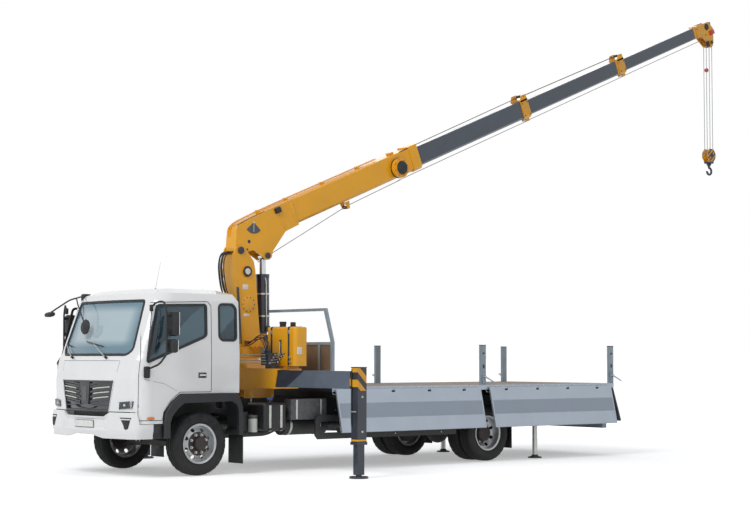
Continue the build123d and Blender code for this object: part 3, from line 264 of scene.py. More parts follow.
def boom_coordinate(tree, place):
    """The distance along the boom from its pivot, in metres."""
    apart = add_node(tree, "ShaderNodeSeparateXYZ", links={"Vector": place})
    along_x = add_node(tree, "ShaderNodeMath", {"operation": "MULTIPLY_ADD"},
                       {1: -math.cos(BOOM_ANGLE), 2: PIVOT.x * math.cos(BOOM_ANGLE)},
                       {0: apart.outputs["X"]})
    along_z = add_node(tree, "ShaderNodeMath", {"operation": "MULTIPLY_ADD"},
                       {1: math.sin(BOOM_ANGLE), 2: -PIVOT.z * math.sin(BOOM_ANGLE)},
                       {0: apart.outputs["Z"]})
    return add_node(tree, "ShaderNodeMath", {"operation": "ADD"},
                    links={0: along_x.outputs[0], 1: along_z.outputs[0]}).outputs[0]


def painted_heads(bands, field, head):
    """Paints the steel of a boom section in one colour with heads of another along it."""
    def paint(tree, place):
        along = boom_coordinate(tree, place)
        hue = field
        for low, high in bands:
            hue = blend_colours(tree, band(tree, along, low, high), hue, head)
        return hue
    return paint


def stripes(tree, climb, pitch, second):
    """The crane's colour and a second one in turn along a climbing value, a pitch apart in metres."""
    turns = add_node(tree, "ShaderNodeMath", {"operation": "PINGPONG"}, {1: pitch / 2}, {0: climb})
    over = add_node(tree, "ShaderNodeMath", {"operation": "GREATER_THAN"}, {1: pitch / 4},
                    {0: turns.outputs[0]})
    return blend_colours(tree, over.outputs[0], colour_of("crane_amber_enamel"), second)


def cheek_stripes(tree, place):
    """Hook block paint: warning stripes 85 mm apart that climb across the cheek."""
    apart = add_node(tree, "ShaderNodeSeparateXYZ", links={"Vector": place})
    climb = add_node(tree, "ShaderNodeMath", {"operation": "MULTIPLY_ADD"}, {1: 0.9},
                     {0: apart.outputs["X"], 2: apart.outputs["Z"]})
    return stripes(tree, climb.outputs[0], 0.085, "22304F")


def leg_marks(tree, place):
    """Outrigger paint: stripes on the head of the leg, navy on the stretch near the housing."""
    apart = add_node(tree, "ShaderNodeSeparateXYZ", links={"Vector": place})
    out = add_node(tree, "ShaderNodeMath", {"operation": "ABSOLUTE"}, links={0: apart.outputs["Y"]})
    climb = add_node(tree, "ShaderNodeMath", {"operation": "SUBTRACT"},
                     links={0: apart.outputs["Z"], 1: apart.outputs["X"]})
    warning = stripes(tree, climb.outputs[0], 0.19, DARK_STRIPE)
    leg = band(tree, out.outputs[0], 2.612, 2.80)
    head = add_node(tree, "ShaderNodeMath", {"operation": "MULTIPLY"},
                    links={0: band(tree, apart.outputs["Z"], 1.130, 1.50), 1: leg})
    slant = add_node(tree, "ShaderNodeMath", {"operation": "MULTIPLY_ADD"}, {1: -1.7},
                     {0: apart.outputs["Z"], 2: out.outputs[0]})
    inner = band(tree, slant.outputs[0], -3.0, -0.70, 0.01)
    beam = band(tree, out.outputs[0], 0.4, 2.60, 0.01)
    inner = add_node(tree, "ShaderNodeMath", {"operation": "MULTIPLY"}, links={0: inner, 1: beam})
    field = blend_colours(tree, inner.outputs[0], "5C6877", "232B3C")
    field = blend_colours(tree, leg, field, "2B323D")
    return blend_colours(tree, head.outputs[0], field, warning)


def plywood(tree, place):
    """Film-faced plywood: boards laid across the bed with a dark joint between them."""
    apart = add_node(tree, "ShaderNodeSeparateXYZ", links={"Vector": place})
    half = bpy.context.scene.crane_sizes.board_w / 2
    board = add_node(tree, "ShaderNodeMath", {"operation": "PINGPONG"}, {1: half}, {0: apart.outputs["X"]})
    joint = add_node(tree, "ShaderNodeMath", {"operation": "LESS_THAN"}, {1: 0.003}, {0: board.outputs[0]})
    return blend_colours(tree, joint.outputs[0], "6E5A48", "2E2620")


# What each finish gives the eye is said above it. Grain is the real grit or fibre of the surface, drawn
# no finer than 1.2 mm, since finer relief doesn't show in the render
# Columns: sRGB colour, roughness, metallic, coat, share that the colour wanders by and over how many
# mm, grain in mm and its depth in mm, share of road dust and the height in metres where it ends
FINISHES = {
    # Acrylic enamel on pressed steel: clean white with a wet gloss
    "cab_white_enamel": ("E9EAEA", 0.22, 0, 0.6, 0.012, 500, 6, 0.01, 0.1, 1),
    # Two-pack enamel on welded plate: warm amber with a slight orange peel
    "crane_amber_enamel": ("F0AA0E", 0.34, 0, 0.2, 0.025, 380, 7, 0.008, 0, 1),
    # The same enamel in slate blue on the sliding boom sections
    "boom_slate_enamel": ("3B4654", 0.34, 0, 0.35, 0.06, 420, 7, 0.03, 0, 1),
    # Dark navy enamel on the cylinder barrel and the beams
    "navy_enamel": ("252B39", 0.36, 0, 0.3, 0.07, 200, 6, 0.03, 0, 1),
    # Slate enamel on the outrigger boxes, a little lighter
    "leg_slate_enamel": ("414B57", 0.38, 0, 0.25, 0.06, 220, 6, 0.03, 0.18, 0.7),
    # The same slate with amber warning stripes on the head of the leg, navy towards the housing
    "leg_striped_enamel": ("5C6877", 0.38, 0, 0.25, 0.06, 220, 6, 0.03, 0, 1),
    # Chassis black: satin paint that road dust greys
    "chassis_black_paint": ("17191D", 0.50, 0, 0, 0.12, 180, 4, 0.08, 0.1, 0.9),
    # Grained polypropylene: flat dark plastic with a leather-like relief
    "grained_black_plastic": ("15171A", 0.62, 0, 0, 0.07, 120, 2.2, 0.1, 0.05, 0.8),
    # Dyed polypropylene of the arch flares, sun-faded
    "flare_plastic": ("1A1D22", 0.58, 0, 0, 0.08, 150, 2.2, 0.1, 0.06, 0.9),
    # Carbon-filled rubber: dull, dusty on the sidewalls
    "tyre_rubber": ("131519", 0.78, 0, 0, 0.1, 90, 2, 0.12, 0.07, 0.75),
    # Rusted iron of the hubs: matt brown with darker patches
    "hub_brown": ("3A3230", 0.60, 0.2, 0, 0.2, 30, 2, 0.15, 0, 1),
    # Shut lines between painted panels: a thin grey shadow
    "seam_grey": ("6E7478", 0.60, 0, 0, 0.05, 40, 3, 0.04, 0, 1),
    # Extruded rubber of window seals: even, dull black
    "black_rubber": ("17181A", 0.60, 0, 0, 0.08, 60, 1.5, 0.05, 0, 1),
    # Silver wheel paint: fine metallic, dusty at the bottom
    "silver_wheel_paint": ("B4B7BA", 0.36, 0.55, 0, 0.05, 90, 1.2, 0.02, 0.22, 0.8),
    # Mill-finish extruded aluminium: pale, drawn out along the bed
    "extruded_aluminium": ("A9B3BF", 0.38, 0.6, 0, 0.015, 300, 3, 0.03, 0, 1),
    # Aluminium of the tailgate darkened to a dark grey, a little metallic: painted shade, as the hung
    # gate's face is turned from the light
    "tailgate_painted_shade": ("43484F", 0.50, 0.3, 0, 0.06, 300, 3, 0.03, 0, 1),
    # The gate's middle board, a shade darker
    "gate_shade": ("8A94A0", 0.40, 0.6, 0, 0.015, 300, 3, 0.03, 0, 1),
    # Amber and navy warning stripes on the hook block
    "striped_cheek": ("F0AA0E", 0.34, 0, 0.2, 0.03, 80, 3, 0.04, 0, 1),
    # Grey-blue enamel on the posts, rails and underrun bars
    "post_greyblue_enamel": ("8E9CA6", 0.42, 0, 0.15, 0.05, 200, 5, 0.03, 0, 1),
    # Film-faced birch plywood with a worn brown face
    "deck_plywood": ("6E5A48", 0.62, 0, 0, 0.14, 340, 7, 0.2, 0, 1),
    # Birch panel inside the headboard
    "headboard_plywood": ("7E6A56", 0.60, 0, 0, 0.1, 300, 8, 0.15, 0, 1),
    # Charcoal ABS of the grille, satin from the mould
    "charcoal_grille": ("3A3D42", 0.45, 0, 0, 0.05, 60, 1.8, 0.04, 0, 1),
    # Cream-silver painted slats
    "slat_silver": ("C9C6BC", 0.32, 0.45, 0.2, 0.03, 60, 3, 0.04, 0, 1),
    # Hard chrome on piston rods mirrors its surroundings, zinc plate on nuts is a soft patchy silver
    "hard_chrome": ("C8CCD0", 0.12, 1, 0, 0.03, 80, 2, 0.01, 0, 1),
    "zinc_plate": ("B9BAB6", 0.38, 0.9, 0, 0.08, 25, 1.5, 0.03, 0, 1),
    # Sand-cast iron of hubs, knuckles and axles: coarse and dark, dusty low down
    "cast_iron": ("3C3D3E", 0.66, 0.25, 0, 0.14, 60, 2.5, 0.25, 0.25, 0.8),
    # Injection-moulded cabin plastic, fine-grained, and woven seat cloth, its threads drawn coarse
    "cabin_plastic": ("4B4D50", 0.60, 0, 0, 0.05, 200, 1.8, 0.08, 0, 1),
    "seat_cloth": ("33363B", 0.90, 0, 0, 0.12, 8, 1.6, 0.35, 0, 1),
    # Rubber cover of hydraulic hose: black with a slight shine
    "hose_rubber": ("1A1B1D", 0.46, 0, 0, 0.1, 30, 1.2, 0.1, 0, 1),
    # Galvanised wire rope: grey steel, strands too fine to model
    "wire_rope": ("8A8C8E", 0.42, 0.85, 0, 0.2, 9, 4, 0.6, 0, 1),
    # Sprayed red enamel of the limit weight: glossy and bright
    "red_enamel": ("C42A1E", 0.30, 0, 0.4, 0.04, 60, 3, 0.04, 0, 1),
    # Woven polyester straps: dark blue, matt, with a visible weave
    "blue_strap": ("1E2C46", 0.75, 0, 0, 0.12, 6, 1.5, 0.2, 0, 1),
    # Moulded polyethylene of the urea tank's cap: plain satin blue
    "cap_blue": ("2A5BA8", 0.45, 0, 0, 0.04, 40, 3, 0.04, 0, 1),
    # Moulded acrylic of the lamp lenses: glossy, with a fine ribbed relief
    "amber_lens": ("E0761A", 0.12, 0, 0.6, 0.06, 12, 4, 0.3, 0, 1),
    "red_lens": ("A81A1C", 0.12, 0, 0.6, 0.06, 12, 4, 0.3, 0, 1),
    "white_lens": ("DDE3E8", 0.10, 0, 0.6, 0.04, 12, 4, 0.3, 0, 1),
    # Glossy black plastic of the lamps around a bowl that is metallised to a mirror
    "lamp_black": ("1B1D21", 0.25, 0, 0.5, 0.05, 20, 3, 0.04, 0, 1),
    "lamp_mirror": ("DADFE4", 0.08, 1, 0, 0.03, 20, 3, 0.04, 0, 1),
    # Enamelled plates without words, and the grey of dials and their covers
    "plate_white": ("E4E4E0", 0.40, 0, 0.2, 0.03, 60, 3, 0.04, 0, 1),
    "dial_grey": ("4A4E52", 0.45, 0, 0, 0.05, 40, 3, 0.04, 0, 1),
    # Painted machined pins, the engine's dusty grey castings, and the canister's clean white paint
    "pin_navy": ("1F2740", 0.40, 0.2, 0.2, 0.08, 40, 3, 0.04, 0, 1),
    "engine_grey": ("55585A", 0.55, 0.3, 0, 0.14, 70, 3, 0.2, 0.2, 0.9),
    "filter_white": ("D8D8D2", 0.35, 0, 0.3, 0.04, 60, 3, 0.04, 0, 1),
}
# Finishes with a pattern of their own, and those whose grain is drawn out along an axis
PATTERNS = {"leg_striped_enamel": leg_marks, "striped_cheek": cheek_stripes, "deck_plywood": plywood}
DRAWN_OUT = {"extruded_aluminium": (0.06, 1, 1), "gate_shade": (0.06, 1, 1),
             "deck_plywood": (1, 0.08, 1), "headboard_plywood": (1, 0.06, 1)}

# Finishes whose colour the user can change, each with its setting
CHOSEN = {"cab_white_enamel": "cab", "crane_amber_enamel": "crane", "boom_slate_enamel": "boom",
          "extruded_aluminium": "gates"}
MATERIALS = {}


def colour_of(name):
    """The hex colour of a finish: the user's, where there is a setting for it."""
    if name in CHOSEN:
        return hex_text(getattr(bpy.context.scene.crane_colours, CHOSEN[name]))
    return FINISHES[name][0]


def finish(name):
    """The material of that name, made the first time that it is asked for."""
    if name not in MATERIALS:
        MATERIALS[name] = surface(name, colour_of(name), FINISHES[name][1:],
                                  DRAWN_OUT.get(name, (1, 1, 1)), PATTERNS.get(name))
    return MATERIALS[name]


def add_object(name, data):
    """Puts a new object in the scene."""
    made = bpy.data.objects.new(name, data)
    bpy.context.scene.collection.objects.link(made)
    return made


class Shape:
    """Gathers closed solids into one mesh; each face keeps the number of its finish."""

    def __init__(self, *finishes, put=None):
        self.bm = bmesh.new()
        self.finishes = finishes
        self.put = put or Matrix()

    def settle(self, verts, matrix, number):
        """Moves new points into place and numbers the faces on them."""
        bmesh.ops.transform(self.bm, matrix=self.put @ matrix, verts=verts)
        for face in {f for v in verts for f in v.link_faces}:
            face.material_index = number

    def block(self, lo, hi, edge=0.0, turn=None, number=0):
        """A block between two corners, its edges rounded, turned about its middle."""
        lo, hi = Vector(lo), Vector(hi)
        made = bmesh.ops.create_cube(self.bm, size=1.0)["verts"]
        sized = Matrix.Diagonal((*(hi - lo), 1))
        bmesh.ops.transform(self.bm, matrix=sized, verts=made)
        if edge:
            edges = list({e for v in made for e in v.link_edges})
            cut = bmesh.ops.bevel(self.bm, geom=edges, offset=edge, segments=2, profile=0.5, affect="EDGES")
            made = list({v for f in cut["faces"] for v in f.verts})
        self.settle(made, Matrix.Translation((lo + hi) / 2) @ (turn or Matrix()), number)

    def rod(self, a, b, r, r2=None, sides=16, number=0):
        """A round bar or cone from one point to another."""
        a, b = Vector(a), Vector(b)
        made = bmesh.ops.create_cone(self.bm, cap_ends=True, segments=sides, radius1=r,
                                     radius2=r if r2 is None else r2, depth=(b - a).length)["verts"]
        turn = (b - a).to_track_quat("Z", "Y").to_matrix().to_4x4()
        self.settle(made, Matrix.Translation((a + b) / 2) @ turn, number)

    def ball(self, at, radii, number=0):
        """A ball, or an egg with a radius of its own along each axis."""
        made = bmesh.ops.create_uvsphere(self.bm, u_segments=20, v_segments=12, radius=1.0)["verts"]
        self.settle(made, Matrix.Translation(at) @ Matrix.Diagonal((*radii, 1)), number)

    def rings(self, rings, number=0, closed=False):
        """Skins rings of points one after another; ends are capped, or joined when closed."""
        rows = [[self.bm.verts.new(self.put @ Vector(p)) for p in ring] for ring in rings]
        pairs = list(zip(rows, rows[1:]))
        if closed:
            pairs.append((rows[-1], rows[0]))
        for one, two in pairs:
            count = max(len(one), len(two))
            for k in range(count):
                corners = [one[k % len(one)], one[(k + 1) % len(one)],
                           two[(k + 1) % len(two)], two[k % len(two)]]
                corners = [v for i, v in enumerate(corners) if v not in corners[:i]]
                if len(corners) > 2:
                    self.bm.faces.new(corners).material_index = number
        if not closed:
            for row in (rows[0], rows[-1]):
                if len(row) > 2:
                    self.bm.faces.new(row).material_index = number

    def lathe(self, at, axis, profile, sides=32, number=0):
        """A turned form about an axis; the profile gives places along it and radii."""
        turn = Vector(axis).to_track_quat("Z", "Y").to_matrix().to_4x4()
        matrix = Matrix.Translation(at) @ turn
        rings = []
        for along, r in profile:
            if r < 1e-6:
                rings.append([matrix @ Vector((0, 0, along))])
                continue
            rings.append([matrix @ Vector((r * math.cos(a), r * math.sin(a), along))
                          for a in (math.tau * k / sides for k in range(sides))])
        self.rings(rings, number)

    def cap(self, at, axis, r, depth, top, height, sides=32, number=0):
        """A round cap: a rim of radius r and a depth, and a smaller flat top at a height."""
        self.lathe(at, axis, [(0, r), (depth, r), (height, top), (height, 0)], sides, number)

    def sleeve(self, at, axis, low, high, inner, outer, sides=32, number=0):
        """A ring round an axis between two radii."""
        self.lathe(at, axis, [(low, inner), (low, outer), (high, outer), (high, inner)], sides, number)

    def prism(self, outline, low, high, number=0):
        """An outline of X and Z places, drawn out along Y from low to high."""
        self.rings([[(u, w, v) for u, v in outline] for w in (low, high)], number)

    def bolt(self, at, normal, width, number=0):
        """A hexagon head on its washer."""
        at, normal = Vector(at), Vector(normal).normalized()
        self.rod(at, at + normal * width * 0.12, width * 0.68, sides=14, number=number)
        self.rod(at + normal * width * 0.1, at + normal * width * 0.58, width * 0.56,
                 width * 0.52, sides=6, number=number)

    def pipe(self, points, r, bend=0.05, sides=10, number=0):
        """A bent steel pipe along straight runs joined by arcs."""
        points = [Vector(p) for p in points]
        line = [points[0]]
        for before, corner, after in zip(points, points[1:], points[2:]):
            one, two = (before - corner).normalized(), (after - corner).normalized()
            reach = min(bend, 0.45 * (before - corner).length, 0.45 * (after - corner).length)
            for k in range(7):
                t = k / 6
                line.append(corner + one * reach * (1 - t) ** 2 + two * reach * t ** 2)
        line.append(points[-1])
        side = (line[1] - line[0]).normalized().orthogonal()
        rings = []
        for k, at in enumerate(line):
            ahead = (line[min(k + 1, len(line) - 1)] - line[max(k - 1, 0)]).normalized()
            side = (side - ahead * side.dot(ahead)).normalized()
            up = ahead.cross(side)
            rings.append([at + (side * math.cos(a) + up * math.sin(a)) * r
                          for a in (math.tau * j / sides for j in range(sides))])
        self.rings(rings, number)

    def piece(self, name, body, smooth=32, swap=()):
        """Ends the mesh as a piece that rides on a body."""
        bmesh.ops.recalc_face_normals(self.bm, faces=self.bm.faces)
        mesh = bpy.data.meshes.new(name)
        self.bm.to_mesh(mesh)
        self.bm.free()
        for key in self.finishes:
            mesh.materials.append(finish(key))
        mesh.shade_smooth()
        mesh.set_sharp_from_angle(angle=math.radians(smooth))
        made = add_object(name, mesh)
        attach(made, body)
        if swap:
            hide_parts(*swap)


def hose(name, points, diameter, body):
    """A hydraulic hose along a smooth spline, riding on a body."""
    curve = bpy.data.curves.new(name, "CURVE")
    curve.dimensions = "3D"
    curve.resolution_u = 6
    curve.bevel_depth = diameter / 2
    curve.bevel_resolution = 3
    spline = curve.splines.new("NURBS")
    spline.points.add(len(points) - 1)
    for spot, point in zip(spline.points, points):
        spot.co = (*point, 1.0)
    spline.order_u = 3
    spline.use_endpoint_u = True
    curve.materials.append(finish("hose_rubber"))
    made = add_object(name, curve)
    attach(made, body)
    run = sum((Vector(b) - Vector(a)).length for a, b in zip(points, points[1:]))
    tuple(points[0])


# Column directions of the boom's own frame: along, across and up from the pivot
BOOM = Matrix.Translation(PIVOT) @ Matrix((
    (-math.cos(BOOM_ANGLE), 0, math.sin(BOOM_ANGLE), 0),
    (0, 1, 0, 0),
    (math.sin(BOOM_ANGLE), 0, math.cos(BOOM_ANGLE), 0),
    (0, 0, 0, 1),
))


def coat(node, materials, number=lambda face: 0):
    """Gives a CAD node its materials, and each of its faces the number of one."""
    mesh = NODES[node].data
    mesh.materials.clear()
    for material in materials:
        mesh.materials.append(material)
    mesh.polygons.foreach_set("material_index", [number(face) for face in mesh.polygons])


def dress(node, first, *rules):
    """Gives a CAD node its finishes: the first one, then each rule's on the faces it picks."""
    def number(face):
        picked = [k + 1 for k, (_, test) in enumerate(rules) if test(face.center, face.normal)]
        return picked[-1] if picked else 0

    coat(node, [finish(key) for key in (first, *(name for name, _ in rules))], number)


CAB_MIDDLE = Vector((0.25, 0.0, 1.6))


def faces_in(at, normal):
    """True on a wall's inner side, which looks at the middle of the cab."""
    return normal.dot(at - CAB_MIDDLE) < -0.02


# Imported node, its first finish and the rules that change it on some faces
CAD_FINISHES = {
    "frame_rails": ("chassis_black_paint",),
    "front_axle": ("cast_iron",),
    "rear_axle": ("cast_iron",),
    "powertrain": ("engine_grey",),
    "cab_shell": ("cab_white_enamel", ("cabin_plastic", faces_in)),
    "grille": ("charcoal_grille",),
    "bumper": ("cab_white_enamel",),
    "front_mudguards": ("flare_plastic",),
    "cab_interior": ("cabin_plastic", ("seat_cloth", lambda at, n: at.x < 0.42)),
    "side_tanks": ("chassis_black_paint",),
    "side_guards": ("chassis_black_paint",),
    "bed_floor": ("chassis_black_paint",
                  ("extruded_aluminium", lambda at, n: abs(at.y) > 1.19 or at.x < -7.90),
                  ("deck_plywood", lambda at, n: at.z > 1.149 and n.z > 0.9 and abs(at.y) < 1.215),
                  ("post_greyblue_enamel", lambda at, n: at.z > 1.1501)),
    "headboard": ("post_greyblue_enamel",
                  ("headboard_plywood", lambda at, n: abs(n.x) > 0.9 and at.z < 1.73 and abs(at.y) < 1.18)),
    "rear_mudguards": ("grained_black_plastic",),
    "rear_underrun": ("post_greyblue_enamel",),
    "crane_base": ("crane_amber_enamel",),
    "outrigger_housing": ("crane_amber_enamel",),
    "oil_tank": ("crane_amber_enamel", ("grained_black_plastic", lambda at, n: at.z > 1.981)),
    "valve_bank": ("navy_enamel", ("zinc_plate", lambda at, n: at.y > 0.935)),
    "rear_jack_tubes": ("leg_slate_enamel",),
    "column": ("crane_amber_enamel", ("pin_navy", lambda at, n: abs(at.y) > 0.147 and at.z > 2.9)),
    "boom_1": ("crane_amber_enamel",),
    "lift_barrel": ("navy_enamel",),
    "lift_rod": ("hard_chrome",),
    "hook_falls": ("wire_rope",),
    "hook_block": ("crane_amber_enamel", ("pin_navy", lambda at, n: at.z < 5.19)),
    # The tailgate's dark grey is painted shade
    "tailgate": ("tailgate_painted_shade",),
}

# The same for nodes that stand on both sides, with the side's word at the end of the name
SIDE_FINISHES = {
    "door_{w}": ("cab_white_enamel", ("cabin_plastic", faces_in)),
    "mirrors_{w}": ("grained_black_plastic",),
    "knuckle_{w}": ("cast_iron",),
    "rim_front_{w}": ("silver_wheel_paint",
                      ("hub_brown", lambda at, n: math.hypot(at.x, at.z - TYRE_R) < 0.151)),
    "rims_rear_{w}": ("silver_wheel_paint",
                      ("hub_brown", lambda at, n: math.hypot(at.x + WHEELBASE, at.z - TYRE_R) < 0.151)),
    "tyre_front_{w}": ("tyre_rubber",),
    "tyres_rear_{w}": ("tyre_rubber",),
    "gate_front_{w}": ("extruded_aluminium",),
    "gate_rear_{w}": ("extruded_aluminium",),
    "outrigger_beam_{w}": ("leg_striped_enamel",),
    "outrigger_foot_{w}": ("navy_enamel",),
    "rear_jack_foot_{w}": ("navy_enamel", ("zinc_plate", lambda at, n: at.z > 0.2)),
}


class CraneSizes(bpy.types.PropertyGroup):
    """Sizes that a user would change."""

    rope_d: FloatProperty(name="Hoist rope", description="Diameter of the hoist rope",
                          default=0.012, min=0.004, max=0.02, unit="LENGTH")
    hose_d: FloatProperty(name="Hydraulic hose", description="Outside diameter of the column hoses",
                          default=0.019, min=0.01, max=0.04, unit="LENGTH")
    tread_depth: FloatProperty(name="Tread depth", description="Depth of the tyre grooves",
                               default=0.012, min=0.002, max=0.02, unit="LENGTH")
    board_w: FloatProperty(name="Deck board", description="Width of the plywood boards of the deck",
                           default=1.22, min=0.3, max=3.0, unit="LENGTH")
    seal_w: FloatProperty(name="Window seal", description="Width of the rubber round the cab windows",
                          default=0.030, min=0.01, max=0.05, unit="LENGTH")


def colour_setting(label, told, default):
    """A colour that the user can change, from an sRGB hex default."""
    return FloatVectorProperty(name=label, description=told, subtype="COLOR", default=linear(default)[:3],
                               min=0.0, max=1.0)


class CraneColours(bpy.types.PropertyGroup):
    """Colours that a user would change."""

    floor: colour_setting("Floor", "Colour of the studio floor", "FFFFFF")
    screen: colour_setting("Windscreen", "Pale sky that the windscreen mirrors", "CFE4EC")
    cab: colour_setting("Cab", "Enamel of the cab", FINISHES["cab_white_enamel"][0])
    crane: colour_setting("Crane", "Enamel of the crane", FINISHES["crane_amber_enamel"][0])
    boom: colour_setting("Boom sections", "Enamel of the sliding sections",
                         FINISHES["boom_slate_enamel"][0])
    gates: colour_setting("Side gates", "Aluminium of the gates", FINISHES["extruded_aluminium"][0])


class CRANE_OT_finishes(bpy.types.Operator):
    """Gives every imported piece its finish"""

    bl_idname = "crane.finishes"
    bl_label = "Finishes"

    def execute(self, context):
        for node, rules in CAD_FINISHES.items():
            dress(node, *rules)
        for node, rules in SIDE_FINISHES.items():
            for _, word in SIDES:
                dress(node.format(w=word), *rules)
        for node, bands in (("boom_2", ((6.28, 6.50),)), ("boom_3", ((8.86, 9.10),)),
                            ("boom_4", ((11.20, 12.20),))):
            field, head = colour_of("boom_slate_enamel"), colour_of("crane_amber_enamel")
            material = surface(f"{node}_enamel", field, FINISHES["boom_slate_enamel"][1:],
                               paint=painted_heads(bands, field, head))
            coat(node, [material])
        panes = glass("side_glass", "2C3C47", "9DB4C0", 0.72, side_sky)
        screen = glass("screen_glass", "A9C9D6", "E4F1F6", 0.66, screen_sky)
        for node in ("cab_glass", "door_glass_left", "door_glass_right"):
            coat(node, [panes, screen], lambda face: int(node == "cab_glass" and face.center.x > 0.5))
        return {"FINISHED"}


# Cab sections from sill to roof, repeated from the part's own frame: height, front at the middle,
# front at the corner and half width
CAB_ROWS = (
    (0.700, 1.150, 1.040, 1.082),
    (1.270, 1.165, 1.050, 1.090),
    (1.520, 1.125, 1.005, 1.090),
    (1.600, 1.070, 0.960, 1.090),
    (2.300, 0.830, 0.720, 1.062),
    (2.400, 0.740, 0.640, 1.000),
    (2.462, 0.560, 0.480, 0.820),
)


def cab_row(z):
    """The cab's front at the middle and at the corner and its half width, at a height."""
    z = min(max(z, CAB_ROWS[0][0]), CAB_ROWS[-1][0])
    for low, high in zip(CAB_ROWS, CAB_ROWS[1:]):
        if z <= high[0]:
            share = (z - low[0]) / (high[0] - low[0])
            return [a + (b - a) * share for a, b in zip(low[1:], high[1:])]
    return list(CAB_ROWS[-1][1:])


def skin(kind, u, v, lift=0.0):
    """A point on the cab's front, on the bumper or on a side of the cab, lifted off it."""
    if kind == "front":
        middle, corner, half = cab_row(v)
        turn = 0.86 * half
        if abs(u) <= turn:
            x = middle - (middle - corner) * (u / turn) ** 2
        else:
            share = min(1.0, (abs(u) - turn) / (half - turn))
            x = corner - 0.24 * half * (1 - math.sqrt(1 - share * share))
        return Vector((x + lift, u, v))
    if kind == "bumper":
        share = min(1.0, max(0.0, (abs(u) - 0.868) / 0.217))
        x = 1.185 - 0.09 * min(1.0, (u / 0.868) ** 2) - 0.16 * (1 - math.sqrt(1 - share * share))
        return Vector((x + lift, u, v))
    half = cab_row(v)[2]
    return Vector((u, half + lift if kind == "left" else -half - lift, v))


def rounded(outline, corner, steps=6):
    """An outline with its corners rounded, in a number of steps each."""
    points = [Vector(p) for p in outline]
    out = []
    for k, at in enumerate(points):
        before, after = points[k - 1], points[(k + 1) % len(points)]
        one, two = (before - at), (after - at)
        reach = min(corner, 0.45 * one.length, 0.45 * two.length)
        one, two = one.normalized(), two.normalized()
        for j in range(steps + 1):
            t = j / steps
            out.append(at + one * reach * (1 - t) ** 2 + two * reach * t ** 2)
    return out


def rims(outline, corner, inward, outward):
    """For each point round a rounded outline, a point nearer its middle and one further out."""
    points = rounded(outline, corner)
    middle = (Vector(outline[0]) + Vector(outline[2])) / 2
    return [(at - away * inward, at + away * outward) for at, away in
            ((at, (at - middle).normalized()) for at in points)]


def divided(outline, step):
    """A closed outline with more points along the runs that are longer than a step."""
    out = []
    for a, b in zip(outline, [*outline[1:], outline[0]]):
        a, b = Vector(a), Vector(b)
        count = max(1, int((b - a).length / step))
        out += [a + (b - a) * k / count for k in range(count)]
    return out


def strip(shape, kind, outline, corner, inward, outward, low, high, number=0):
    """A strip laid on the cab's skin along a closed outline; without a corner its runs end square."""
    dense = divided(rounded(outline if corner else divided(outline, 0.16), corner), 0.12)
    middle = sum(dense, Vector((0, 0))) / len(dense)
    rings = []
    for k, at in enumerate(dense):
        ahead = (dense[(k + 1) % len(dense)] - dense[k - 1]).normalized()
        away = Vector((ahead.y, -ahead.x))
        if away.dot(at - middle) < 0:
            away = -away
        near, far = at - away * inward, at + away * outward
        rings.append([skin(kind, *near, low), skin(kind, *near, high),
                      skin(kind, *far, high), skin(kind, *far, low)])
    shape.rings(rings, number, closed=True)


def patch(shape, kind, corners, low, high, number=0, across=8, up=4):
    """A panel on the skin between four corners: low left, low right, high right, high left."""
    a, b, c, d = (Vector(p) for p in corners)
    rings = []
    for j in range(up + 1):
        t = j / up
        left, right = a + (d - a) * t, b + (c - b) * t
        row = [left + (right - left) * i / across for i in range(across + 1)]
        rings.append([skin(kind, *p, low) for p in row] + [skin(kind, *p, high) for p in reversed(row)])
    shape.rings(rings, number)


def line(shape, kind, points, width, low, high, number=0):
    """A narrow open strip along points on the skin."""
    for a, b in zip(points, points[1:]):
        a, b = Vector(a), Vector(b)
        away = Vector((-(b - a).y, (b - a).x)).normalized() * width / 2
        count = max(1, int((b - a).length / 0.1))
        patch(shape, kind, (a - away, b - away, b + away, a + away), low, high, number, across=count, up=1)


# Panes: the windscreen and the back pane as Y and Z places, the side windows as X and Z places
SCREEN = [(-0.868, 1.655), (-0.780, 1.585), (0.780, 1.585), (0.868, 1.655), (0.805, 2.305), (-0.805, 2.305)]
WINDOW = [(0.892, 1.484), (0.733, 2.235), (-0.015, 2.255), (-0.040, 2.230), (-0.040, 1.850), (0.010, 1.815)]
QUARTER = [(-0.235, 2.272), (-0.470, 2.272), (-0.526, 2.215), (-0.526, 1.777), (-0.285, 1.777),
           (-0.235, 1.825)]
BACK_PANE = [(-0.520, 1.720), (0.520, 1.720), (0.520, 2.120), (-0.520, 2.120)]


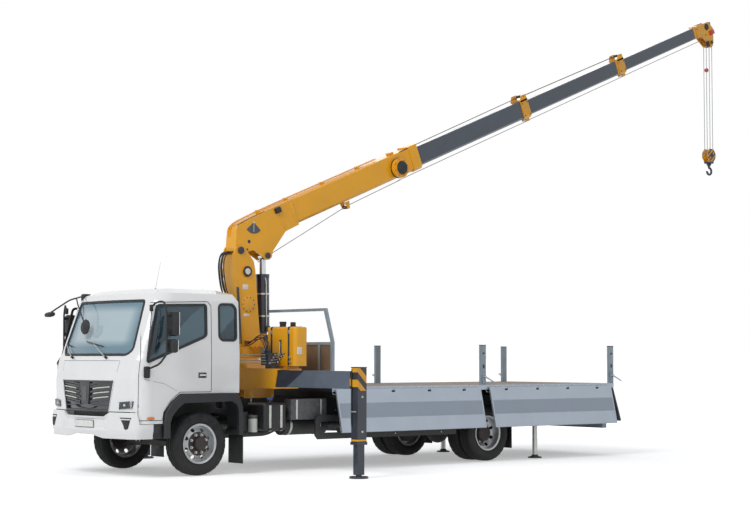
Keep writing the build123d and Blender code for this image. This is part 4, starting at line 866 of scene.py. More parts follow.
class CRANE_OT_cab_front(bpy.types.Operator):
    """Builds the grille, the bumper, the lamps, the wipers and the seams of the cab's front"""

    bl_idname = "crane.cab_front"
    bl_label = "Cab front"

    def execute(self, context):
        seal = context.scene.crane_sizes.seal_w
        lines = Shape("black_rubber", "seam_grey")
        strip(lines, "front", SCREEN, 0.05, seal * 0.7, seal * 0.35, -0.006, 0.005)
        line(lines, "front", [(-0.705, 1.512), (0.705, 1.512)], 0.006, 0.0002, 0.0008, 1)
        for s in (1, -1):
            line(lines, "front", [(s * 0.712, 1.512), (s * 0.655, 1.250), (s * 0.545, 0.862)], 0.005,
                 0.0002, 0.0008, 1)
        line(lines, "front", [(-0.94, 0.849), (0.94, 0.849)], 0.012, -0.004, 0.001)
        lines.piece("cab_front_seams", "chassis")
        face = Shape("charcoal_grille", "slat_silver", "lamp_black")
        corners = ((-0.529, 0.853), (0.529, 0.853), (0.635, 1.254), (-0.635, 1.254))
        patch(face, "front", corners, -0.055, -0.030, 2, across=16)
        strip(face, "front", corners, 0.0, 0.020, 0.0, -0.050, 0.003)
        for z, number in GRILLE_ROWS:
            half = 0.515 + (z - 0.852) * 0.26 - 0.012
            depth = (-0.028, 0.006) if number else (-0.030, -0.006)
            width = 0.013 if number else 0.024
            for s in (1, -1):
                points = [(s * half, z + 0.022), (s * 0.300, z + 0.004), (s * 0.130, z - 0.018)]
                if number:
                    points = [(s * (half - 0.01), z + 0.022), (s * 0.300, z + 0.004),
                              (s * 0.215, z - 0.006)]
                line(face, "front", points, width, *depth, number)
        for s in (1, -1):
            line(face, "front", [(s * 0.520, 0.925), (s * 0.26, 0.925), (s * 0.17, 0.895), (0, 0.880)],
                 0.012, -0.03, -0.004)
        patch(face, "front", ((-0.085, 0.940), (0.085, 0.940), (0.125, 1.245), (-0.125, 1.245)), -0.04,
              -0.002)
        patch(face, "front", ((-0.045, 0.985), (0.045, 0.985), (0.060, 1.175), (-0.060, 1.175)), -0.004,
              0.001, 2)
        face.piece("grille_face", "chassis", swap=("grille",))
        bumper_shape = Shape("cab_white_enamel", "grained_black_plastic", "plate_white", "seam_grey",
                             "white_lens")
        ends = ((-1.085, BUMPER_BACK_X), (1.085, BUMPER_BACK_X))
        rings = []
        for u, back in (ends[0], *((u, None) for u in BUMPER_SPOTS), ends[1]):
            at = skin("bumper", u, 0.0)
            at.x = at.x if back is None else back
            share = min(1.0, max(0.0, (abs(u) - 0.465) / 0.12))
            top = 0.788 + 0.057 * share
            dip = 0.026 * (1 - share)
            low = 0.548 - 0.042 * min(1.0, max(0.0, (abs(u) - 0.20) / 0.24))
            section = ((0.04, top), (0.008, top), (0.0, top - 0.010), (dip, top - 0.04), (dip, 0.640),
                       (0.0, 0.605), (0.010, 0.575), (0.016, low + 0.014), (0.022, low), (0.04, low))
            away = 1 if u > 0 else -1
            out = Vector((1, 0, 0))
            if abs(u) > 0.95:
                out = Vector((0.7, 0.7 * away, 0)) if abs(u) < 1.06 else Vector((0, away, 0))
            roof = 0.695 if abs(u) > 1.06 else top
            rings.append([Vector((at.x, at.y, min(z, roof))) - out * d for d, z in section])
        bumper_shape.rings(rings)
        # The grey patch behind the blank plate shows as a rim round it: painted shadow along the plate's
        # edge
        for half, low, high, depth, lift, number in ((0.235, 0.640, 0.735, -0.024, -0.016, 3),
                                                     (0.228, 0.646, 0.729, -0.018, -0.014, 2)):
            patch(bumper_shape, "bumper", ((-half, low), (half, low), (half, high), (-half, high)), depth,
                  lift, number)
        for s in (1, -1):
            patch(bumper_shape, "bumper", ((s * 0.905, 0.630), (s * 0.930, 0.630), (s * 1.000, 0.782),
                                           (s * 0.800, 0.782)), -0.01, 0.0025, 1)
            patch(bumper_shape, "bumper", ((s * 0.825, 0.752), (s * 0.985, 0.752), (s * 0.990, 0.768),
                                           (s * 0.815, 0.768)), 0.002, 0.006, 4)
            patch(bumper_shape, "bumper", ((s * 0.885, 0.640), (s * 0.955, 0.640), (s * 0.985, 0.735),
                                           (s * 0.860, 0.735)), 0.002, 0.005, 1)
            bumper_shape.block((0.98, s * 0.395 - 0.035, 0.66), (1.12, s * 0.395 + 0.035, 0.78), number=1)
        bumper_shape.piece("bumper_skin", "chassis", swap=("bumper",), smooth=24)
        lamps = Shape("lamp_black", "lamp_mirror", "white_lens")
        for s in (1, -1):
            body = ((s * 0.739, 0.888), (s * 0.968, 0.905), (s * 0.986, 0.990), (s * 0.751, 0.975))
            patch(lamps, "front", body, -0.036, 0.0015, 0, across=10)
            at = skin("front", s * 0.845, 0.940, -0.012)
            lamps.lathe(at, (1, s * 0.12, 0), [(0, 0.040), (0.014, 0.040), (0.016, 0.035), (0.009, 0.030),
                                               (0.009, 0.0)], sides=24, number=1)
            lamps.ball(at + Vector((0.010, 0, 0)), (0.022, 0.022, 0.022), 2)
            for k in range(5):
                u = 0.895 + 0.016 * k
                patch(lamps, "front", ((s * u, 0.910), (s * (u + 0.004), 0.910), (s * (u + 0.016), 0.980),
                                       (s * (u + 0.012), 0.980)), 0.001, 0.004, 1, across=1)
            patch(lamps, "front", ((s * 0.752, 0.897), (s * 0.800, 0.901), (s * 0.806, 0.912),
                                   (s * 0.754, 0.908)), 0.001, 0.005, 1, across=2)
            line(lamps, "front", [(s * 0.756, 0.966), (s * 0.972, 0.982)], 0.006, 0.001, 0.004, 2)
        lamps.piece("lamp_bowls", "chassis", swap=("headlamps",))
        MATERIALS["lamp_cover"] = glass("lamp_cover", "9FB4C0", "F2F6F8", 0.06)
        cover = Shape("lamp_cover")
        for s in (1, -1):
            patch(cover, "front", ((s * 0.736, 0.884), (s * 0.978, 0.903), (s * 0.992, 0.996),
                                   (s * 0.748, 0.979)), 0.012, 0.015, 0, across=10)
        cover.piece("lamp_covers", "chassis")
        wipers = Shape("zinc_plate", "black_rubber")
        for y in (0.428, -0.428):
            post, elbow, tip = (skin("front", y, 1.545, 0.0), skin("front", y - 0.17, 1.628, 0.035),
                                skin("front", y - 0.40, 1.735, 0.022))
            wipers.rod(post, post + Vector((0.035, 0, 0.02)), 0.016, number=1)
            wipers.pipe([post + Vector((0.035, 0, 0.02)), elbow, tip], 0.006, number=0)
            ends = [skin("front", y - 0.17, 1.70, 0.012), skin("front", y - 0.62, 1.765, 0.012)]
            wipers.pipe([ends[0], tip - Vector((0.012, 0, 0)), ends[1]], 0.007, bend=0.03, number=1)
        wipers.piece("wipers", "chassis")
        aerial = Shape("black_rubber", "zinc_plate")
        aerial.rod((0.463, 0.60, 2.425), (0.455, 0.60, 2.470), 0.020, 0.010)
        aerial.rod((0.455, 0.60, 2.465), (0.380, 0.60, 2.820), 0.0035, 0.002, sides=8, number=1)
        aerial.piece("aerial", "chassis")
        side_mirrors = Shape("grained_black_plastic", "lamp_mirror")
        side_mirrors.block((0.53, -1.00, 2.325), (0.65, -0.90, 2.435), edge=0.02)
        side_mirrors.pipe([(0.590, -0.955, 2.415), (0.780, -1.070, 2.350), (0.960, -1.150, 2.215),
                           (1.030, -1.150, 2.172)], 0.011)
        side_mirrors.pipe([(0.610, -0.945, 2.405), (0.900, -0.680, 2.365), (0.985, -0.500, 2.270),
                           (1.035, -0.235, 2.010)], 0.009)
        side_mirrors.lathe((1.035, -0.19, 1.96), (1, 0, 0.1), [(0.0, 0.0), (0.0, 0.098), (0.014, 0.103),
                           (0.034, 0.085), (0.05, 0.040), (0.054, 0.0)], number=0)
        side_mirrors.sleeve((1.035, -0.19, 1.96), (-1, 0, -0.1), 0.0, 0.003, 0.0, 0.094, number=1)
        side_mirrors.block((0.99, -1.24, 2.115), (1.09, -1.07, 2.175), edge=0.028,
                           turn=Matrix.Rotation(math.radians(18), 4, "Y"))
        side_mirrors.piece("front_mirrors", "chassis")
        return {"FINISHED"}


# Height of each pair of grille bars, and one where it is bright
GRILLE_ROWS = ((0.960, 0), (0.992, 0), (1.024, 1), (1.056, 0), (1.088, 1), (1.120, 0), (1.152, 1),
               (1.184, 0), (1.216, 0))
# Back end of the bumper's sides, and the places across it where a section stands
BUMPER_BACK_X = 0.780
BUMPER_SPOTS = (-1.085, -1.075, -1.06, -1.03, -0.98, -0.92, -0.868, -0.76, -0.66, -0.585, -0.56, -0.53,
                -0.50, -0.465, -0.44, -0.34, -0.20, 0.0, 0.20, 0.34, 0.44, 0.465, 0.50, 0.53, 0.56, 0.585,
                0.66, 0.76, 0.868, 0.92, 0.98, 1.03, 1.06, 1.075, 1.085)


class CRANE_OT_cab_sides(bpy.types.Operator):
    """Builds the arches, seals, handles, mirrors and side lamps of the cab"""

    bl_idname = "crane.cab_sides"
    bl_label = "Cab sides"

    def execute(self, context):
        seal = context.scene.crane_sizes.seal_w
        outer = [(0.636, 0.512), (0.636, 0.720), (0.615, 0.845), (0.516, 0.975), (0.378, 1.080),
                 (-0.480, 1.080), (-0.560, 1.030), (-0.612, 0.900), (-0.622, 0.520)]
        inner = [(0.545, 0.512), (0.545, 0.700), (0.515, 0.790), (0.430, 0.890), (0.335, 0.960),
                 (-0.440, 0.975), (-0.505, 0.940), (-0.540, 0.860), (-0.552, 0.520)]
        arches = Shape("flare_plastic", "grained_black_plastic", "zinc_plate")
        for s in (1, -1):
            for low, high, number in ((1.075, 1.128, 0), (0.790, 1.076, 1)):
                wide = 1.0 if number == 0 else 0.42
                rings = []
                for (ox, oz), (ix, iz) in zip(outer, inner):
                    mx, mz = ox + (ix - ox) * wide, oz + (iz - oz) * wide
                    lip = 0.012 if number == 0 else 0.0
                    rings.append([(ox, s * low, oz), (ox, s * (high - lip), oz),
                                  (ox + (ix - ox) * 0.1 * wide, s * high, oz + (iz - oz) * 0.1 * wide),
                                  (mx, s * (high - 0.004), mz), (mx, s * low, mz)])
                arches.rings(rings, number)
            arches.block((-0.59, s * 0.505, 0.850), (0.52, s * 0.511, 1.072), number=1)
            arches.block((-0.48, s * 0.505, 1.062), (0.378, s * 0.800, 1.074), number=1)
            arches.block((-0.619, s * 0.790, 0.140), (-0.609, s * 1.120, 0.560), edge=0.003, number=1)
            arches.block((-0.612, s * 0.800, 0.520), (-0.560, s * 1.110, 0.600), edge=0.006, number=1)
            arches.block((0.640, s * 0.855, 0.512), (0.776, s * 1.082, 0.690), edge=0.012, number=0)
            arches.block((0.650, s * 1.078, 0.540), (0.770, s * 1.090, 0.575), edge=0.004, number=1)
            arches.block((0.652, s * 0.88, 0.688), (0.766, s * 0.884, 0.694), number=2)
            arches.block((0.640, s * 0.43, 0.650), (0.700, s * 0.870, 0.690), number=1)
            arches.block((-0.605, s * 0.43, 0.760), (-0.575, s * 0.800, 0.800), number=1)
        arches.piece("wheel_arches", "chassis", swap=("front_mudguards",), smooth=24)
        for s, word in SIDES:
            seals = Shape("black_rubber")
            strip(seals, word, QUARTER, 0.07, seal * 0.7, seal * 0.30, -0.008, 0.004)
            seals.piece(f"quarter_seal_{word}", "chassis")
            seals = Shape("black_rubber", "lamp_black", "lamp_mirror", "seam_grey", "amber_lens")
            strip(seals, word, WINDOW, 0.05, seal * 0.7, seal * 0.40, -0.008, 0.005)
            seals.block((-0.034, s * 1.086, 1.286), (0.094, s * 1.0945, 1.358), edge=0.003, number=1)
            seals.rod((-0.020, s * 1.098, 1.324), (0.080, s * 1.098, 1.324), 0.010, number=2)
            seals.ball((0.030, s * 1.093, 1.262), (0.009, 0.009, 0.009), 2)
            # A thin grey line across the door: painted shadow
            line(seals, word, [(0.935, 1.275), (0.62, 1.215), (0.43, 1.12)], 0.004, 0.0002, 0.0008, 3)
            seals.ball((0.823, s * 1.085, 0.772), (0.060, 0.012, 0.021), 4)
            seals.piece(f"door_trim_{word}", f"door_{word}")
            mirror = Shape("grained_black_plastic", "lamp_mirror", "black_rubber")
            mirror.pipe([(0.826, s * 1.070, 2.200), (0.800, s * 1.150, 2.265), (0.745, s * 1.250, 2.280),
                         (0.734, s * MIRROR_Y, 2.160), (0.728, s * MIRROR_Y, 1.600),
                         (0.839, s * MIRROR_Y, 1.469), (0.870, s * 1.100, 1.410)], 0.013, bend=0.06)
            mirror.block((0.800, s * 1.055, 2.150), (0.845, s * 1.090, 2.235), edge=0.010)
            mirror.block((0.850, s * 1.078, 1.290), (0.940, s * 1.112, 1.440), edge=0.014)
            y = s * MIRROR_Y
            for low, high, x0, x1, wide in ((1.830, 2.150, 0.585, 0.680, 0.090),
                                            (1.615, 1.790, 0.600, 0.700, 0.088)):
                mirror.block((x0, y - wide, low), (x1, y + wide, high), edge=0.030)
                mirror.block((x0 - 0.003, y - wide + 0.016, low + 0.016),
                             (x0 + 0.004, y + wide - 0.016, high - 0.016), edge=0.001, number=1)
                for z in (low + 0.05, high - 0.05):
                    mirror.rod((x1 - 0.02, y, z), (0.735, y, z), 0.020, number=2)
            mirror.piece(f"mirror_arm_{word}", f"door_{word}", swap=(f"mirrors_{word}",))
        rear = Shape("black_rubber")
        rear.rings([[(x, *at) for x, at in ((-0.555, near), (-0.576, near), (-0.576, far), (-0.555, far))]
                    for near, far in rims(BACK_PANE, 0.04, 0.02, 0.012)], closed=True)
        rear.piece("back_pane_seal", "chassis")
        return {"FINISHED"}


class CRANE_OT_wheels(bpy.types.Operator):
    """Builds the tyres with their tread, the wheel nuts and the hub caps"""

    bl_idname = "crane.wheels"
    bl_label = "Wheels"

    def execute(self, context):
        depth = context.scene.crane_sizes.tread_depth
        count = 120
        for s, word in SIDES:
            for name, body, x, places in (("tyre_front", "wheel_front", 0.0, (FRONT_TYRE_Y,)),
                                          ("tyres_rear", "wheel_rear", -WHEELBASE, REAR_TYRES_Y)):
                tyre = Shape("tyre_rubber")
                for y in places:
                    rings = []
                    for along, r, notch in TYRE_PROFILE:
                        ring = []
                        for k in range(count):
                            turn = math.tau * k / count
                            cut = depth if notch == 2 else (depth * 0.35 if notch == 1 and k % 4 == 0
                                                            else 0.0)
                            ring.append((x + (r - cut) * math.cos(turn), s * y + along,
                                         TYRE_R + (r - cut) * math.sin(turn)))
                        rings.append(ring)
                    tyre.rings(rings, closed=True)
                tyre.piece(f"{name}_tread_{word}", f"{body}_{word}", swap=(f"{name}_{word}",), smooth=28)
            for body, x, plane, r, top in (("wheel_front", 0.0, 0.963, 0.122, 1.023),
                                           ("wheel_rear", -WHEELBASE, 0.980, 0.138, 1.058)):
                nuts = Shape("zinc_plate", "hub_brown", "cast_iron")
                for k in range(8):
                    turn = math.tau * (k + 0.5) / 8
                    at = Vector((x + r * math.cos(turn), s * plane, TYRE_R + r * math.sin(turn)))
                    nuts.rod(at, at + Vector((0, s * 0.006, 0)), 0.021, sides=14, number=0)
                    nuts.rod(at, at + Vector((0, s * 0.026, 0)), 0.0165, sides=6, number=0)
                    nuts.rod(at, at + Vector((0, s * 0.034, 0)), 0.009, sides=8, number=0)
                hub_r = 0.088 if body == "wheel_front" else 0.120
                nuts.lathe((x, s * plane, TYRE_R), (0, s, 0),
                           [(-0.002, 0.086), (0.0015, 0.086), (0.0015, 0.156), (-0.002, 0.158)], sides=40,
                           number=1)
                nuts.lathe((x, s * top, TYRE_R), (0, s, 0), [(-0.004, hub_r * 0.98), (0.004, hub_r * 0.92),
                           (0.008, hub_r * 0.6), (0.006, hub_r * 0.5), (0.006, 0.0)], sides=28, number=1)
                for k in range(6):
                    turn = math.tau * k / 6
                    nuts.bolt((x + hub_r * 0.72 * math.cos(turn), s * (top + 0.004),
                               TYRE_R + hub_r * 0.72 * math.sin(turn)), (0, s, 0), 0.016, number=2)
                nuts.piece(f"{body}_nuts_{word}", f"{body}_{word}")
        return {"FINISHED"}


# Tyre section: offset across, radius, and one where the tread is notched or two where it is grooved
TYRE_PROFILE = (
    (-0.081, 0.2484, 0), (-0.084, 0.270, 0), (-0.108, 0.298, 0), (-0.1175, 0.330, 0), (-0.120, 0.352, 0),
    (-0.1195, 0.362, 0), (-0.1160, 0.366, 0), (-0.1155, 0.384, 0), (-0.1100, 0.398, 1), (-0.094, 0.4125, 1),
    (-0.074, 0.4170, 1), (-0.068, 0.4172, 1), (-0.066, 0.4172, 2), (-0.058, 0.4172, 2), (-0.056, 0.4175, 0),
    (-0.030, 0.4190, 0), (-0.027, 0.4190, 2), (-0.019, 0.4190, 2), (-0.016, 0.4190, 0),
    (0.016, 0.4190, 0), (0.019, 0.4190, 2), (0.027, 0.4190, 2), (0.030, 0.4190, 0), (0.056, 0.4175, 0),
    (0.058, 0.4172, 2), (0.066, 0.4172, 2), (0.068, 0.4172, 1), (0.074, 0.4170, 1), (0.094, 0.4125, 1),
    (0.1100, 0.398, 1), (0.1155, 0.384, 0), (0.1160, 0.366, 0), (0.1195, 0.362, 0), (0.120, 0.352, 0),
    (0.1175, 0.330, 0), (0.108, 0.298, 0), (0.084, 0.270, 0), (0.081, 0.2484, 0),
)


def along_boom(s, y, t):
    """A world point from the boom's own places at rest: along, across and up."""
    return BOOM @ Vector((s, y, t))


# Hoses behind the column: place across, how far they bow out, and height of their upper end
COLUMN_HOSES = ((-0.060, 0.02, 3.020), (-0.020, 0.06, 3.040), (0.020, 0.03, 3.030), (0.060, 0.08, 3.045),
                (0.090, 0.05, 3.015))


class CRANE_OT_column(bpy.types.Operator):
    """Builds the covers, bolts, pins, hoses and winch rope of the column and the lift cylinder"""

    bl_idname = "crane.column"
    bl_label = "Column"

    def execute(self, context):
        body = Shape("crane_amber_enamel", "cast_iron", "pin_navy", "plate_white", "dial_grey", "wire_rope",
                     "slat_silver")
        for s in (1, -1):
            body.cap((-1.400, s * 0.144, 2.310), (0, s, 0), 0.118, 0.006, 0.112, 0.009, sides=36, number=0)
            for k in range(10):
                turn = math.tau * k / 10
                body.bolt((-1.400 + 0.102 * math.cos(turn), s * 0.153, 2.310 + 0.102 * math.sin(turn)),
                          (0, s, 0), 0.013, number=1)
            for (x, z), r in (((PIVOT.x, PIVOT.z), 0.052), (CYLINDER_FOOT, 0.045)):
                y = 0.157 if z > 3 else 0.090
                body.cap((x, s * y, z), (0, s, 0), r, 0.010, r * 0.85, 0.014, sides=28, number=2)
                body.bolt((x, s * (y + 0.013), z), (0, s, 0), 0.02, number=1)
            body.block((-1.395, s * 0.1445, 2.520), (-1.300, s * 0.1475, 2.590), edge=0.001, number=3)
            body.block((-1.420, s * 0.1445, 2.140), (-1.320, s * 0.1470, 2.175), edge=0.001, number=3)
        wx, wz = WINCH
        body.cap((wx, 0.160, wz), (0, 1, 0), 0.078, 0.006, 0.072, 0.008, sides=36, number=1)
        body.lathe((wx, 0.168, wz), (0, 1, 0), [(0, 0.046), (0.010, 0.044), (0.012, 0.038), (0.012, 0.0)],
                   sides=28, number=6)
        for k in range(12):
            turn = math.tau * k / 12
            body.bolt((wx + 0.064 * math.cos(turn), 0.168, wz + 0.064 * math.sin(turn)), (0, 1, 0), 0.012,
                      number=1)
        for k in range(17):
            body.lathe((wx, -0.104 + 0.013 * k, wz), (0, 1, 0),
                       [(-0.0065, 0.080), (-0.003, 0.087), (0.003, 0.087), (0.0065, 0.080)], sides=28,
                       number=5)
        for k in range(16):
            turn = math.tau * (k + 0.5) / 16
            body.bolt((SLEW_X + 0.222 * math.cos(turn), 0.222 * math.sin(turn), 1.700), (0, 0, 1), 0.018,
                      number=1)
        body.pipe([(-1.250, 0.150, 1.75), (-1.228, 0.158, 2.05), (-1.190, 0.158, 2.55)], 0.009, number=4)
        body.pipe([(-1.275, 0.158, 1.75), (-1.255, 0.158, 2.05), (-1.215, 0.158, 2.55)], 0.009, number=4)
        body.piece("column_fittings", "column")
        base = Shape("cast_iron")
        for k in range(24):
            turn = math.tau * k / 24
            base.bolt((SLEW_X + 0.247 * math.cos(turn), 0.247 * math.sin(turn), 1.60),
                      (math.cos(turn), math.sin(turn), 0), 0.016)
        base.piece("slew_ring_bolts", "chassis")
        for k, (y, reach, top) in enumerate(COLUMN_HOSES):
            points = [(-1.222, y, 2.330), (-1.160, y, 2.370), (-1.110 + reach, y, 2.480),
                      (-1.065 + reach, y, 2.700), (-1.050 + reach, y, 2.880),
                      (-1.080 + reach * 0.6, y, top + 0.02), (-1.160, y, top)]
            hose(f"column_hose_{k + 1}", points, context.scene.crane_sizes.hose_d, "column")
        ends = Shape("zinc_plate", "crane_amber_enamel")
        for y in (-0.060, -0.020, 0.020, 0.060, 0.090):
            ends.rod((-1.245, y, 2.310), (-1.215, y, 2.336), 0.016, sides=6)
        ends.block((-1.250, -0.10, 2.270), (-1.215, 0.12, 2.320), edge=0.004, number=1)
        ends.piece("hose_unions", "column")
        fx, fz = CYLINDER_FOOT
        ex, ez = along_boom(0.434, 0, -0.236).x, along_boom(0.434, 0, -0.236).z
        up = Vector((ex - fx, 0, ez - fz)).normalized()
        foot = Vector((fx, 0, fz))
        barrel = Shape("navy_enamel", "zinc_plate")
        barrel.lathe(foot + up * 0.895, up, [(0, 0.099), (0.004, 0.101), (0.018, 0.101), (0.022, 0.090),
                     (0.022, 0.052), (0.018, 0.0495), (0.0, 0.0495)], number=0)
        barrel.pipe([foot + up * 0.14 + Vector((0.02, 0.098, 0)),
                     foot + up * 0.20 + Vector((0.02, 0.112, 0)),
                     foot + up * 0.80 + Vector((0.02, 0.112, 0)),
                     foot + up * 0.86 + Vector((0.02, 0.094, 0))], 0.009, number=1)
        barrel.block(foot + up * 0.12 + Vector((-0.035, 0.085, -0.03)),
                     foot + up * 0.12 + Vector((0.035, 0.135, 0.05)), edge=0.006, number=0)
        for k in (0.30, 0.62):
            barrel.sleeve(foot + up * k, up, 0, 0.022, 0.0955, 0.098, number=1)
        barrel.piece("cylinder_fittings", "lift_barrel")
        return {"FINISHED"}


class CRANE_OT_boom(bpy.types.Operator):
    """Builds the pins, plates, pipes, brackets and hoist rope of the telescopic boom"""

    bl_idname = "crane.boom"
    bl_label = "Boom"

    def execute(self, context):
        r = context.scene.crane_sizes.rope_d / 2
        root = Shape("pin_navy", "cast_iron", "dial_grey", "slat_silver", "grained_black_plastic",
                     "crane_amber_enamel", "hose_rubber", put=BOOM)
        for side in (1, -1):
            for s, t, size, y, thick in ((0.434, -0.236, 0.044, 0.1325, 0.012),
                                         (0.205, 0.062, 0.026, 0.1195, 0.002),
                                         (0.128, -0.034, 0.019, 0.1195, 0.002)):
                root.cap((s, side * y, t), (0, side, 0), size, thick * 0.75, size * 0.8, thick, sides=24,
                         number=0)
            root.block((0.86, side * 0.118, 0.02), (0.90, side * 0.124, 0.33), edge=0.002, number=5)
            root.block((1.10, side * 0.1165, 0.02), (1.15, side * 0.1265, 0.33), edge=0.003, number=5)
        fan = [(0.385, 0.290)] + [(0.385 + 0.165 * math.cos(a), 0.290 + 0.165 * math.sin(a))
                                  for a in (math.radians(-162 + 14 * k) for k in range(8))]
        root.prism(fan, 0.1195, 0.1225, number=2)
        root.rod((0.385, 0.124, 0.290), (0.330, 0.124, 0.160), 0.0045, sides=8, number=3)
        root.rod((0.385, 0.1215, 0.290), (0.385, 0.130, 0.290), 0.014, number=3)
        root.block((0.800, 0.100, 0.270), (0.900, 0.160, 0.350), edge=0.010, number=4)
        for y in (-0.075, -0.035):
            root.pipe([(0.02, y, 0.215), (0.085, y, 0.345), (0.22, y, 0.372), (0.62, y, 0.388),
                       (1.20, y, 0.392), (3.05, y, 0.392)], 0.007, bend=0.06, number=5)
        for s in (0.62, 1.16, 1.90, 2.64):
            root.block((s, -0.10, 0.355), (s + 0.03, -0.010, 0.403), edge=0.003, number=5)
        root.pipe([(0.10, 0.100, 0.345), (0.30, 0.110, 0.362), (0.60, 0.110, 0.372), (0.81, 0.110, 0.350)],
                  0.005, bend=0.06, number=6)
        reel_s, reel_t = REEL
        root.lathe((reel_s, 0.2262, reel_t), (0, 1, 0),
                   [(0, 0.106), (0.005, 0.106), (0.008, 0.098), (0.008, 0.060), (0.014, 0.054),
                    (0.014, 0.0)], sides=36, number=4)
        root.sleeve((reel_s, 0.2060, reel_t), (0, 1, 0), -0.075, -0.055, 0.151, 0.156, sides=40, number=4)
        for k in range(8):
            turn = math.tau * k / 8
            root.bolt((reel_s + 0.130 * math.cos(turn), 0.2065, reel_t + 0.130 * math.sin(turn)), (0, 1, 0),
                      0.012, number=1)
        for k in range(5):
            root.bolt((3.330, 0.1325, 0.30 - 0.06 * k), (0, 1, 0), 0.014, number=1)
        root.block((3.28, -0.05, 0.372), (3.36, 0.05, 0.405), edge=0.004, number=5)
        root.piece("boom_root_fittings", "boom_1")
        for node, head, low, high, wide in (("boom_2", 6.395, 0.028, 0.330, 0.200),
                                            ("boom_3", 9.015, 0.046, 0.298, 0.166)):
            part = Shape("crane_amber_enamel", "cast_iron", "zinc_plate", "grained_black_plastic", put=BOOM)
            half = wide / 2 + 0.015
            for side in (1, -1):
                part.prism([(head - 0.115, high - 0.02), (head + 0.065, high - 0.02),
                            (head + 0.045, high + 0.085), (head - 0.060, high + 0.085)],
                           side * (half - 0.012), side * half)
                for t in (low + 0.05, high - 0.05):
                    part.bolt((head + 0.04, side * half, t), (0, side, 0), 0.014, number=1)
                    part.bolt((head - 0.08, side * half, t), (0, side, 0), 0.014, number=1)
            part.rod((head - 0.005, -half, high + 0.062), (head - 0.005, half, high + 0.062), 0.012,
                     number=2)
            part.rod((head - 0.005, -0.040, high + 0.062), (head - 0.005, 0.040, high + 0.062), 0.022,
                     number=3)
            part.rod((head + 0.01, -0.05, low - 0.045), (head + 0.01, 0.05, low - 0.045), 0.020, number=2)
            for side in (1, -1):
                part.prism([(head - 0.03, low - 0.01), (head + 0.05, low - 0.01),
                            (head + 0.035, low - 0.065), (head - 0.012, low - 0.065)], side * 0.052,
                           side * 0.060)
            part.piece(f"{node}_head_fittings", node)
        tip = Shape("red_enamel", "grained_black_plastic", "cast_iron", put=BOOM)
        for side in (1, -1):
            tip.cap((11.600, side * 0.097, -0.110), (0, side, 0), 0.030, 0.010, 0.022, 0.014, number=2)
            tip.cap((11.580, side * 0.081, 0.190), (0, side, 0), 0.060, 0.006, 0.050, 0.010, number=1)
            for s, t in ((11.30, 0.05), (11.30, 0.22), (11.50, 0.06)):
                tip.bolt((s, side * 0.081, t), (0, side, 0), 0.016, number=2)
        tip.block((11.62, 0.075, 0.020), (11.74, 0.115, 0.100), edge=0.008, number=0)
        tip.block((11.66, -0.055, 0.190), (11.76, 0.055, 0.250), edge=0.010, number=0)
        tip.block((11.44, 0.081, -0.16), (11.52, 0.110, -0.06), edge=0.006, number=1)
        tip.piece("tip_fittings", "boom_4")
        runs = (
            ("boom_1", ((0.300, -0.283), (2.180, -0.076), (3.350, -0.052))),
            ("boom_2", ((3.300, -0.047), (6.400, -0.034))),
            ("boom_3", ((6.350, -0.030), (9.020, -0.018))),
            ("boom_4", ((8.980, -0.014), (11.560, -0.010), (11.620, -0.020))),
        )
        for body, points in runs:
            rope = Shape("wire_rope", put=BOOM)
            rope.pipe([(s, 0.030, t) for s, t in points], r, bend=0.03, sides=8)
            rope.piece(f"hoist_rope_{body}", body)
        guide = Shape("cast_iron", "crane_amber_enamel", put=BOOM)
        guide.rod((2.180, -0.055, -0.098), (2.180, 0.055, -0.098), 0.024)
        for side in (1, -1):
            guide.prism([(2.130, -0.010), (2.230, -0.010), (2.200, -0.120), (2.160, -0.120)], side * 0.055,
                        side * 0.063, number=1)
        guide.piece("rope_guide", "boom_1")
        cable = Shape("hose_rubber", put=BOOM)
        cable.pipe([(6.45, 0.045, 0.385), (8.95, 0.045, 0.372)], 0.007, sides=8)
        cable.piece("top_cable_rear", "boom_3")
        cable = Shape("hose_rubber", put=BOOM)
        cable.pipe([(3.42, 0.115, 0.372), (6.30, 0.045, 0.392)], 0.006, sides=8)
        cable.piece("top_cable_front", "boom_2")
        return {"FINISHED"}


class CRANE_OT_hook(bpy.types.Operator):
    """Builds the striped cheeks, the latch and the limit weight of the hook block"""

    bl_idname = "crane.hook"
    bl_label = "Hook"

    def execute(self, context):
        x, z = HOOK_AT
        cheeks = Shape("striped_cheek", "pin_navy", "hard_chrome", "cast_iron")
        for s in (1, -1):
            cheeks.lathe((x, s * 0.0620, z), (0, s, 0),
                         [(0, 0.112), (0.004, 0.118), (0.009, 0.112), (0.009, 0.0)], sides=40)
            cheeks.cap((x, s * 0.0705, z), (0, s, 0), 0.040, 0.004, 0.028, 0.006, number=1)
            for a in (0.5, 2.6, 3.9, 5.5):
                cheeks.bolt((x + 0.090 * math.cos(a), s * 0.0705, z + 0.090 * math.sin(a)), (0, s, 0),
                            0.014, number=3)
        cheeks.lathe((x, 0, z - 0.150), (0, 0, -1),
                     [(0, 0.045), (0.018, 0.045), (0.024, 0.036), (0.040, 0.034), (0.045, 0.0)], number=3)
        cheeks.pipe([(x + 0.040, 0, z - 0.235), (x + 0.052, 0, z - 0.290)], 0.006, number=2)
        cheeks.piece("hook_cheeks", "hook_block")
        weight = Shape("red_enamel", "zinc_plate")
        weight.lathe((x + 0.080, 0.030, 6.845), (0, 0, 1), [(0, 0.010), (0.006, 0.030), (0.030, 0.040),
                     (0.060, 0.036), (0.078, 0.012)], sides=20)
        weight.rod((x + 0.080, 0.030, 6.90), (x + 0.080, 0.030, 7.20), 0.003, sides=6, number=1)
        weight.piece("limit_weight", "hook_falls")
        return {"FINISHED"}


# Outline of the oil tank as X and Z places
TANK_SIDES = ((-1.636, 1.438), (-1.398, 1.438), (-1.398, 1.982), (-1.636, 1.982))


